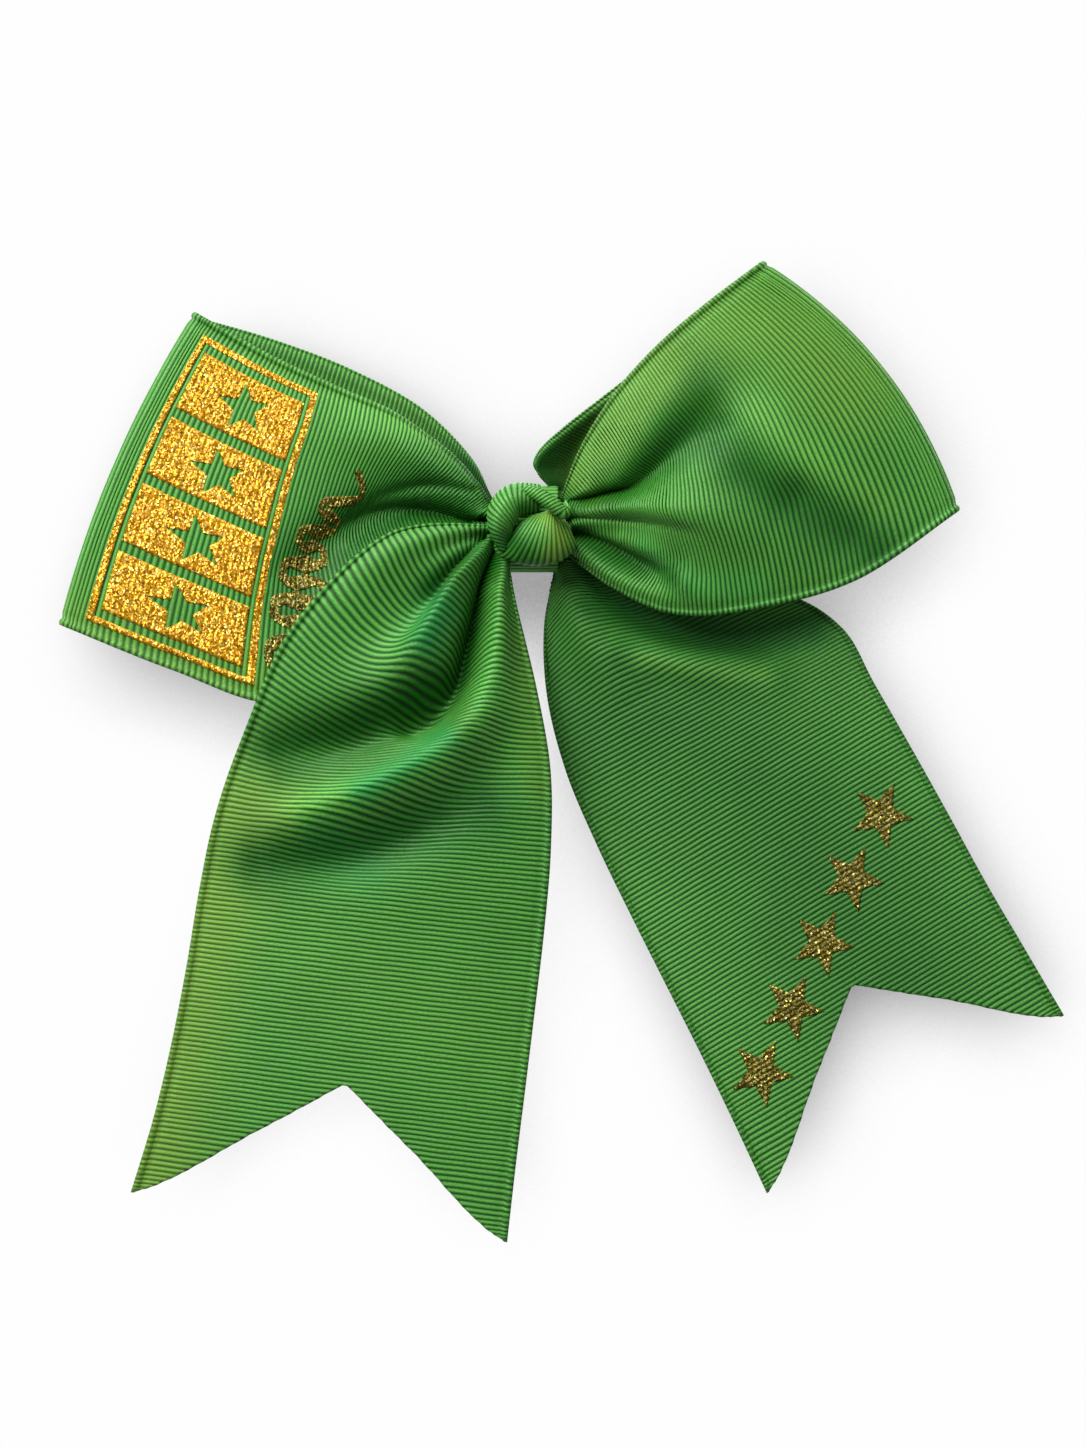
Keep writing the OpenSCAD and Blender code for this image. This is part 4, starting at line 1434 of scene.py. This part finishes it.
@dataclass
class KnotRoll:
    """A fold of the knot's ribbon, rolled over a curve.

    Args:
        name: The CAD node it replaces.
        path: Centre points (x, y, z).
        half_width: Half its width at even stations.
        depth: How far it stands out at even stations.
        wrap: How far round the section the cloth goes, in degrees each way.
        slant: How far the ribs run ahead from one side to the other, at even stations.
        pitch: Rib spacing along the middle line.
        flat: Not used. The ribbon in it, width by length.
        hollows: Routes along which shade and light are painted, as on a ribbon part.
    """

    name: str
    path: Edge
    half_width: tuple[float, ...]
    depth: tuple[float, ...]
    wrap: float = 115.0
    slant: tuple[float, ...] = (0.0, 0.0)
    pitch: float = 0.9
    flat: tuple[float, float] = (20, 20)
    hollows: Hollows = ()

    def shape(self) -> tuple[Array, Array, Array, Array]:
        """Rolls the cloth over its curve.

        Returns:
            The points, rows by columns, their normals, the distance along the curve of each
            row and the distance across the cloth of each column.
        """
        fine_t = np.linspace(0, 1, 200)
        path = np.array(self.path, float)
        fine = spline(path, fine_t)
        run = np.concatenate([[0], np.cumsum(np.linalg.norm(np.diff(fine, axis=0), axis=1))])
        s = np.arange(0, run[-1], self.pitch / 6)
        t = np.interp(s, run, fine_t)
        centre = spline(path, t)
        way = unit(np.gradient(centre, axis=0))
        side = unit(np.cross(way, [0, 1, 0]))
        a = spline(np.array(self.half_width), t)
        b = spline(np.array(self.depth), t)
        v = np.linspace(-1, 1, 61)
        angle = (np.radians(self.wrap) * v)[None, :, None]
        p = centre[:, None] + side[:, None] * a[:, None] * np.sin(angle)
        p = p + np.array([0, -1, 0]) * b[:, None] * np.cos(angle)
        lead = spline(np.array(self.slant), t)[:, None]
        p = p + way[:, None] * lead * v[None, :, None]
        normals = grid_normals(p)
        if normals[len(s) // 2, len(v) // 2, 1] > 0:
            normals = -normals
        width = float(a.mean()) * 2 * np.radians(self.wrap)
        ribs = ROLL_RIB * np.cos(TAU * s / self.pitch)[:, None] * np.ones(len(v))
        edge = smooth_step((1 - np.abs(v)) * width / 2 / 1.2)
        return p + normals * (ribs * edge)[..., None], normals, s, v * width / 2

    def build(self, wardrobe: Wardrobe) -> None:
        """Makes the roll and dresses it."""
        p, normals, s, across = self.shape()
        quads = grid_quads(*p.shape[:2]).reshape(-1, 4)
        points = p.reshape(-1, 3) * MM
        middle = quads[len(quads) // 2 + len(across) // 2]
        if face_normal(points, middle) @ normals.reshape(-1, 3)[middle[0]] < 0:
            quads = quads[:, ::-1]
        uv = grid_uv(s * CLOTH.pitch / self.pitch, across)
        obj = mesh_object(f"{self.name}_cloth", points, quads, uv)
        thicken(obj, CLOTH.thickness)
        paint_shade_and_light(obj, self.hollows)
        wardrobe.dress(obj, Finish.RIBBON)
        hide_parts(self.name)
        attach(obj, "bow_centre")
        log_piece(obj)


def ring_path(depth: float, height: float, radius: float, count: int) -> tuple[Array, Array]:
    """Points (y, z) evenly round a rounded rectangle, and their outward directions.

    Args:
        depth: Its size along Y.
        height: Its size along Z.
        radius: Its corners' radius.
        count: Number of points.

    Returns:
        The points about its centre, and a unit direction for each.
    """
    corners, fine, away = [(1, 1, 0), (-1, 1, 90), (-1, -1, 180), (1, -1, 270)], [], []
    for sy, sz, start in corners:
        for a in np.radians(np.linspace(start, start + 90, 24)):
            centre = np.array([sy * (depth / 2 - radius), sz * (height / 2 - radius)])
            direction = np.array([math.cos(a), math.sin(a)])
            fine.append(centre + radius * direction)
            away.append(direction)
    fine, away = np.array(fine + fine[:1]), np.array(away + away[:1])
    run = np.concatenate([[0], np.cumsum(np.linalg.norm(np.diff(fine, axis=0), axis=1))])
    at = np.linspace(0, run[-1], count, endpoint=False)
    points = np.stack([np.interp(at, run, fine[:, k]) for k in (0, 1)], axis=1)
    out = np.stack([np.interp(at, run, away[:, k]) for k in (0, 1)], axis=1)
    return points, out / np.linalg.norm(out, axis=1, keepdims=True)


@dataclass
class CentreBand:
    """A band round the pinched middle: the knot's strap or the elastic.

    Args:
        name: The CAD node it replaces.
        finish: Its finish.
        width: Its width along X.
        gap: Its distance from the gather.
        thickness: Its thickness.
        relief: Height of its ribs or its cords.
        pitch: Their spacing.
        across: Whether they run across the band rather than round it.
    """

    name: str
    finish: Finish
    width: float
    gap: float
    thickness: float
    relief: float
    pitch: float
    across: bool

    def build(self, wardrobe: Wardrobe) -> None:
        """Makes the band and dresses it."""
        grow = 2 * self.gap + self.thickness
        depth, height = GATHER_DEPTH + grow, GATHER_HEIGHT + grow
        mean_radius, cols = 2.8, 41
        length = 2 * (depth + height) - 8 * mean_radius + TAU * mean_radius
        count = round(length / self.pitch) * 4 if self.across else 160
        points, out = ring_path(depth, height, GATHER_RADIUS + grow / 2, count)
        x = np.linspace(-self.width / 2, self.width / 2, cols)
        s = np.arange(count) * length / count
        wave = np.cos(TAU * s / self.pitch)[:, None] * np.ones(cols)
        if not self.across:
            wave = np.cos(TAU * x / self.pitch)[None, :] * np.ones((count, 1))
        lift = self.relief * wave * smooth_step((self.width / 2 - np.abs(x)) / 0.5)[None, :]
        p = np.empty((count, cols, 3))
        p[..., 0] = x[None, :]
        p[..., 1] = GATHER_MID + points[:, :1] + out[:, :1] * lift
        p[..., 2] = points[:, 1:] + out[:, 1:] * lift
        index = np.arange(count * cols).reshape(count, cols)
        nxt = np.roll(index, -1, axis=0)
        quads = np.stack([index[:, :-1], nxt[:, :-1], nxt[:, 1:], index[:, 1:]], axis=-1).reshape(-1, 4)
        flat = p.reshape(-1, 3) * MM
        if face_normal(flat, quads[0])[1:] @ out[0] < 0:
            quads = quads[:, ::-1]
        obj = mesh_object(f"{self.name}_strap", flat, quads, grid_uv(s, x))
        thicken(obj, self.thickness * 0.75)
        wardrobe.dress(obj, self.finish)
        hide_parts(self.name)
        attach(obj, "bow_centre")
        log_piece(obj)


class Knot:
    """The pinched middle, its elastic and the short ribbon wound round it."""

    def build(self, wardrobe: Wardrobe) -> None:
        """Builds the gather, the bands and the three rolls."""
        self.gather(wardrobe)
        CentreBand("cinch_band", Finish.ELASTIC, 4.0, 0.1, 0.8, 0.14, 0.9, False).build(wardrobe)
        CentreBand("knot_wrap", Finish.RIBBON, 11.0, 1.0, 0.9, 0.17, CLOTH.pitch, True).build(wardrobe)
        KnotRoll(
            "knot_fold",
            ((1.6, KNOT_Y + 0.8, 6.0), (-3.8, KNOT_Y - 0.6, 5.4), (-6.6, KNOT_Y - 1.0, 2.4),
             (-7.2, KNOT_Y - 0.4, -1.0), (-6.4, KNOT_Y + 2.0, -5.0)),
            (2.9, 3.6, 3.3, 2.3, 1.0), (3.0, 4.0, 4.2, 3.8, 2.8), wrap=98,
            slant=(0.4, 1.2, 2.2, 2.4, 1.0), flat=(14, 20),
            # Shade painted at the fold's lower end and along its top.
            hollows=((((-6.5, -3), (-7, -6)), 0.3, -0.6, 3.0),
                     (((-2, 4), (2, 4.6)), 0.1, -0.7, 2.0)),
        ).build(wardrobe)
        KnotRoll(
            "knot_front",
            ((-5.4, KNOT_Y + 2.6, -1.2), (-2.8, KNOT_Y + 0.6, -1.8), (1.2, KNOT_Y - 0.2, -2.4),
             (5.0, KNOT_Y + 0.2, -2.2), (8.2, KNOT_Y + 2.4, -1.2)),
            (2.8, 4.9, 5.9, 5.2, 3.0), (1.6, 3.8, 4.6, 4.0, 1.6), wrap=100,
            slant=(4.6, 4.0, 2.4, 0.6, -0.6), flat=(22, 16),
            # Shade painted on the ball's left side, olive and a little light painted on its right side.
            hollows=((((-4, 3), (-5, -2), (-2, -6)), 0.2, -0.75, 3.6),
                     (((4, 2), (6, -2), (5, -6)), -0.7, 0.1, 3.2)),
        ).build(wardrobe)
        KnotRoll(
            "knot_twist",
            ((-2.0, KNOT_Y - 2.4, 8.0), (1.2, KNOT_Y - 3.4, 6.7), (4.2, KNOT_Y - 3.6, 4.7),
             (6.6, KNOT_Y - 3.0, 3.0), (7.9, KNOT_Y - 2.0, 4.6)),
            (0.8, 1.2, 1.3, 1.2, 0.9), (1.2, 1.5, 1.6, 1.4, 1.0), wrap=150,
            slant=(1.6, 1.6, 1.6, 1.6, 1.6), pitch=0.8, flat=(10, 13),
        ).build(wardrobe)

    @staticmethod
    def gather(wardrobe: Wardrobe) -> None:
        """Builds the pleats where all the ribbon's layers are pinched together."""
        folds, depth, height = 10, 7.0, 13.6
        z = np.linspace(-height / 2, height / 2, folds * 16 + 1)
        phase = (z + height / 2) / height * folds
        saw = np.arcsin(0.96 * np.sin(math.pi * phase)) / (math.pi / 2)
        half = 8.6
        s = np.arange(-half, half, CLOTH.pitch / CLOTH.steps)
        pinch = 1 - 0.12 * np.exp(-((s / 3) ** 2))
        p = np.empty((len(s), len(z), 3))
        p[..., 0] = s[:, None]
        p[..., 1] = GATHER_MID + saw[None] * depth / 2 * pinch[:, None]
        p[..., 2] = z[None] * pinch[:, None]
        quads = grid_quads(*p.shape[:2]).reshape(-1, 4)
        unfolded = 5
        uv = grid_uv(s, z * unfolded)
        obj = mesh_object("centre_gather_pleats", p.reshape(-1, 3) * MM, quads, uv)
        thicken(obj, CLOTH.thickness)
        wardrobe.dress(obj, Finish.RIBBON)
        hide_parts("centre_gather")
        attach(obj, "bow_centre")
        log_piece(obj)


# ---------------------------------------------------------------- behind the knot


@dataclass
class SoftPad:
    """A flat soft piece behind the knot, with a ragged edge and an uneven face.

    Args:
        name: The CAD node it replaces.
        finish: Its finish.
        ragged: How uneven its edge is.
        uneven: How uneven its faces are.
        seed: Seed of its unevenness.
    """

    name: str
    finish: Finish
    ragged: float
    uneven: float
    seed: int

    def build(self, wardrobe: Wardrobe) -> None:
        """Makes the pad within its CAD box and dresses it."""
        low, high = (np.array(c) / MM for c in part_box(self.name))
        rng = np.random.default_rng(self.seed)
        half_x, half_z = (high[0] - low[0]) / 2, (high[2] - low[2]) / 2
        middle = (low + high) / 2
        count, rings = 180, 26
        angle = np.linspace(0, TAU, count, endpoint=False)
        straight = half_x - half_z
        core_x = np.clip(half_x * 1.5 * np.cos(angle), -straight, straight)
        core = np.stack([core_x, np.zeros(count)], axis=1)
        away = np.stack([np.cos(angle), np.sin(angle)], axis=1)
        waves = sum(rng.normal(0, 1 / k) * np.sin(k * angle + rng.uniform(0, TAU))
                    for k in range(5, 40, 3))
        edge = core + away * (half_z + self.ragged * waves)[:, None]
        half_y = (high[1] - low[1]) / 2
        profile = [(f, 1.0) for f in np.linspace(0.04, 0.94, rings)]
        profile += [(0.975, 0.85), (1.0, 0.4), (1.0, -0.4), (0.975, -0.85)]
        profile += [(f, -1.0) for f in np.linspace(0.94, 0.04, rings)]
        shape = np.array([[(x * f, h * half_y, z * f) for x, z in edge] for f, h in profile])
        bumps = rng.normal(0, self.uneven, shape.shape[:2])
        bumps = (bumps + np.roll(bumps, 1, 1) + np.roll(bumps, 1, 0)) / 3
        shape[..., 1] += bumps * np.sign([h for _, h in profile])[:, None]
        shape += middle
        rows = len(profile)
        index = np.arange(rows * count).reshape(rows, count)
        nxt = np.roll(index, -1, axis=1)
        quads = np.stack([index[:-1], nxt[:-1], nxt[1:], index[1:]], axis=-1).reshape(-1, 4)
        obj = mesh_object(f"{self.name}_piece", shape.reshape(-1, 3) * MM, quads)
        bm = bmesh.new()
        bm.from_mesh(obj.data)
        bmesh.ops.holes_fill(bm, edges=bm.edges, sides=0)
        bmesh.ops.recalc_face_normals(bm, faces=bm.faces)
        bm.to_mesh(obj.data)
        bm.free()
        wardrobe.dress(obj, self.finish)
        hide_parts(self.name)
        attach(obj, "bow_centre")
        log_piece(obj)


@dataclass
class LinerStrip:
    """The thin ribbon glued along the clip.

    Args:
        inset: How far it stays within its CAD box.
        rib: How far a rib stands out.
        columns: Columns of points across it.
        thickness: Its thickness.
    """

    inset: float = 0.1
    rib: float = 0.1
    columns: int = 25
    thickness: float = 0.3

    def build(self, wardrobe: Wardrobe) -> None:
        """Makes the strip with its ribs."""
        low, high = (np.array(c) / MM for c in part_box("clip_liner"))
        s = np.arange(low[0] + self.inset, high[0] - self.inset, CLOTH.pitch / CLOTH.steps)
        z = np.linspace(low[2] + self.inset, high[2] - self.inset, self.columns)
        ribs = self.rib * np.cos(TAU * s / CLOTH.pitch)[:, None]
        lift = ribs * smooth_step((4.5 - np.abs(z)) / 0.8)
        p = np.empty((len(s), self.columns, 3))
        p[..., 0], p[..., 2] = s[:, None], z[None, :]
        p[..., 1] = (low[1] + high[1]) / 2 - lift
        quads = grid_quads(*p.shape[:2])[..., [0, 3, 2, 1]].reshape(-1, 4)
        obj = mesh_object("clip_liner_strip", p.reshape(-1, 3) * MM, quads, grid_uv(s, z))
        thicken(obj, self.thickness)
        wardrobe.dress(obj, Finish.RIBBON)
        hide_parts("clip_liner")
        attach(obj, "bow_centre")
        log_piece(obj)


class Clip:
    """The alligator clip: its steel comes from the frame and gets its finish here."""

    STEEL = {"clip_fixed_jaw": Finish.STEEL, "clip_moving_jaw": Finish.STEEL,
             "clip_pivot_pin": Finish.PIN, "clip_spring": Finish.SPRING}

    def build(self, nodes: dict, wardrobe: Wardrobe) -> None:
        """Dresses the steel parts and builds the soft layers behind the knot."""
        for name, finish in self.STEEL.items():
            wardrobe.dress(nodes[name], finish)
            log_piece(nodes[name])
        SoftPad("felt_backing", Finish.FELT, 0.05, 0.05, 3).build(wardrobe)
        SoftPad("glue_pad", Finish.GLUE, 0.18, 0.02, 5).build(wardrobe)
        LinerStrip().build(wardrobe)


# ---------------------------------------------------------------- the picture's setting


class Setting:
    """A pale backdrop, soft lights and the camera. Its places are in metres."""

    WALL = 0.0105
    NEAR = 0.03
    # PAINTED_SHADOW is the colour of the shadow painted on the backdrop; TOWARDS_LIGHT turns that
    # painted shadow away from the key light.
    PAINTED_SHADOW = rgb(24, 24, 23)
    PAPER = rgb(254, 254, 254)
    TOWARDS_LIGHT = (-0.42, -0.75, 0.5)
    EYE = (0.0022, -0.759, -0.0427)

    def build(self) -> None:
        """Builds everything that isn't part of the bow."""
        self.backdrop()
        self.light("key_light", (-0.55, -0.85, 0.75), 1.15, 35.0)
        self.light("fill_light", (0.8, -0.9, -0.1), 0.9, 1.5)
        self.light("top_light", (0.1, -0.3, 0.9), 0.6, 3.0)
        self.light("back_light", (0.35, 0.9, 0.5), 0.8, 9.0)
        self.world()
        self.camera()
        bpy.context.scene.view_settings.view_transform = "Standard"

    def backdrop(self) -> None:
        """A pale sheet behind the bow that shows a painted soft shadow and hides nothing behind it."""
        bpy.ops.mesh.primitive_plane_add(size=3.0, location=(0, self.WALL, 0),
                                         rotation=(math.pi / 2, 0, 0))
        wall = bpy.context.object
        wall.name = "backdrop"
        wall.data.materials.append(self.paper())

    def paper(self) -> bpy.types.Material:
        """White paper as a light, a painted soft shadow to the eye, nothing from behind."""
        material, tree, shader = start_material("pale_wall")
        tree.put(self.PAPER, shader.inputs["Base Color"])
        tree.put(0.9, shader.inputs["Roughness"])
        tree.put(0.1, shader.inputs["Specular IOR Level"])
        tree.put((1, 1, 1, 1), shader.inputs["Emission Color"])
        tree.put(0.4, shader.inputs["Emission Strength"])
        # The shade the camera sees on the paper is a painted shadow, drawn from how much of the bow
        # lies near, not cast by the lights.
        near = tree.add("ShaderNodeAmbientOcclusion")
        near.samples = 12
        tree.put(self.NEAR, near.inputs["Distance"])
        tree.put(tree.vector(*self.TOWARDS_LIGHT), near.inputs["Normal"])
        soft = tree.span(near.outputs["AO"], 0.32, 0.92, 0.0, 1.0)
        painted_shadow_veil = tree.add("ShaderNodeBsdfTransparent")
        tree.put(tree.mix(soft, self.PAINTED_SHADOW, self.PAPER), painted_shadow_veil.inputs["Color"])
        clear = tree.add("ShaderNodeBsdfTransparent")
        shape = tree.add("ShaderNodeNewGeometry")
        path = tree.add("ShaderNodeLightPath")
        seen = tree.add("ShaderNodeMixShader")
        tree.put(path.outputs["Is Camera Ray"], seen.inputs[0])
        tree.put(shader.outputs[0], seen.inputs[1])
        tree.put(painted_shadow_veil.outputs[0], seen.inputs[2])
        away = tree.math("MAXIMUM", shape.outputs["Backfacing"], path.outputs["Is Shadow Ray"])
        choice = tree.add("ShaderNodeMixShader")
        tree.put(away, choice.inputs[0])
        tree.put(seen.outputs[0], choice.inputs[1])
        tree.put(clear.outputs[0], choice.inputs[2])
        output = next(n for n in tree.tree.nodes if n.type == "OUTPUT_MATERIAL")
        tree.put(choice.outputs[0], output.inputs[0])
        return material

    @staticmethod
    def light(name: str, place: tuple[float, float, float], size: float, power: float) -> None:
        """Adds a soft light that faces the bow."""
        data = bpy.data.lights.new(name, "AREA")
        data.shape, data.size, data.energy = "DISK", size, power
        lamp = bpy.data.objects.new(name, data)
        bpy.context.scene.collection.objects.link(lamp)
        lamp.location = place
        aim = Vector((0, 0, -0.04)) - Vector(place)
        lamp.rotation_euler = aim.to_track_quat("-Z", "Y").to_euler()

    @staticmethod
    def world() -> None:
        """White to the eye, softer as a light."""
        world = bpy.data.worlds.new("studio")
        world.use_nodes = True
        world.node_tree.nodes.clear()
        tree = NodeTree(world.node_tree)
        path = tree.add("ShaderNodeLightPath")
        back = tree.add("ShaderNodeBackground")
        tree.put((1, 1, 1, 1), back.inputs["Color"])
        tree.put(tree.span(path.outputs["Is Camera Ray"], 0, 1, 0.14, 1.0), back.inputs["Strength"])
        output = tree.add("ShaderNodeOutputWorld")
        tree.put(back.outputs[0], output.inputs[0])
        bpy.context.scene.world = world

    def camera(self) -> None:
        """Looks straight at the bow's front."""
        data = bpy.data.cameras.new("camera")
        data.lens, data.sensor_width = 85, 36
        data.sensor_fit = "VERTICAL"
        data.sensor_height = 36
        data.clip_start = 0.01
        camera = bpy.data.objects.new("camera", data)
        bpy.context.scene.collection.objects.link(camera)
        camera.location = self.EYE
        camera.rotation_euler = (math.pi / 2, 0, 0)
        bpy.context.scene.camera = camera


def main() -> None:
    """Builds the bow and its setting in order."""
    logging.basicConfig(level=logging.INFO, format="%(name)s %(message)s")
    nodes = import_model()["nodes"]
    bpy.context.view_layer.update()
    wardrobe = Wardrobe()
    for part in (LeftLoop(), RightLoop(), LeftTail(), RightTail()):
        cloth = part.build(wardrobe)
        for film in part.films():
            film.build(part, cloth, wardrobe)
    Knot().build(wardrobe)
    Clip().build(nodes, wardrobe)
    Setting().build()


if __name__ == "__main__":
    main()
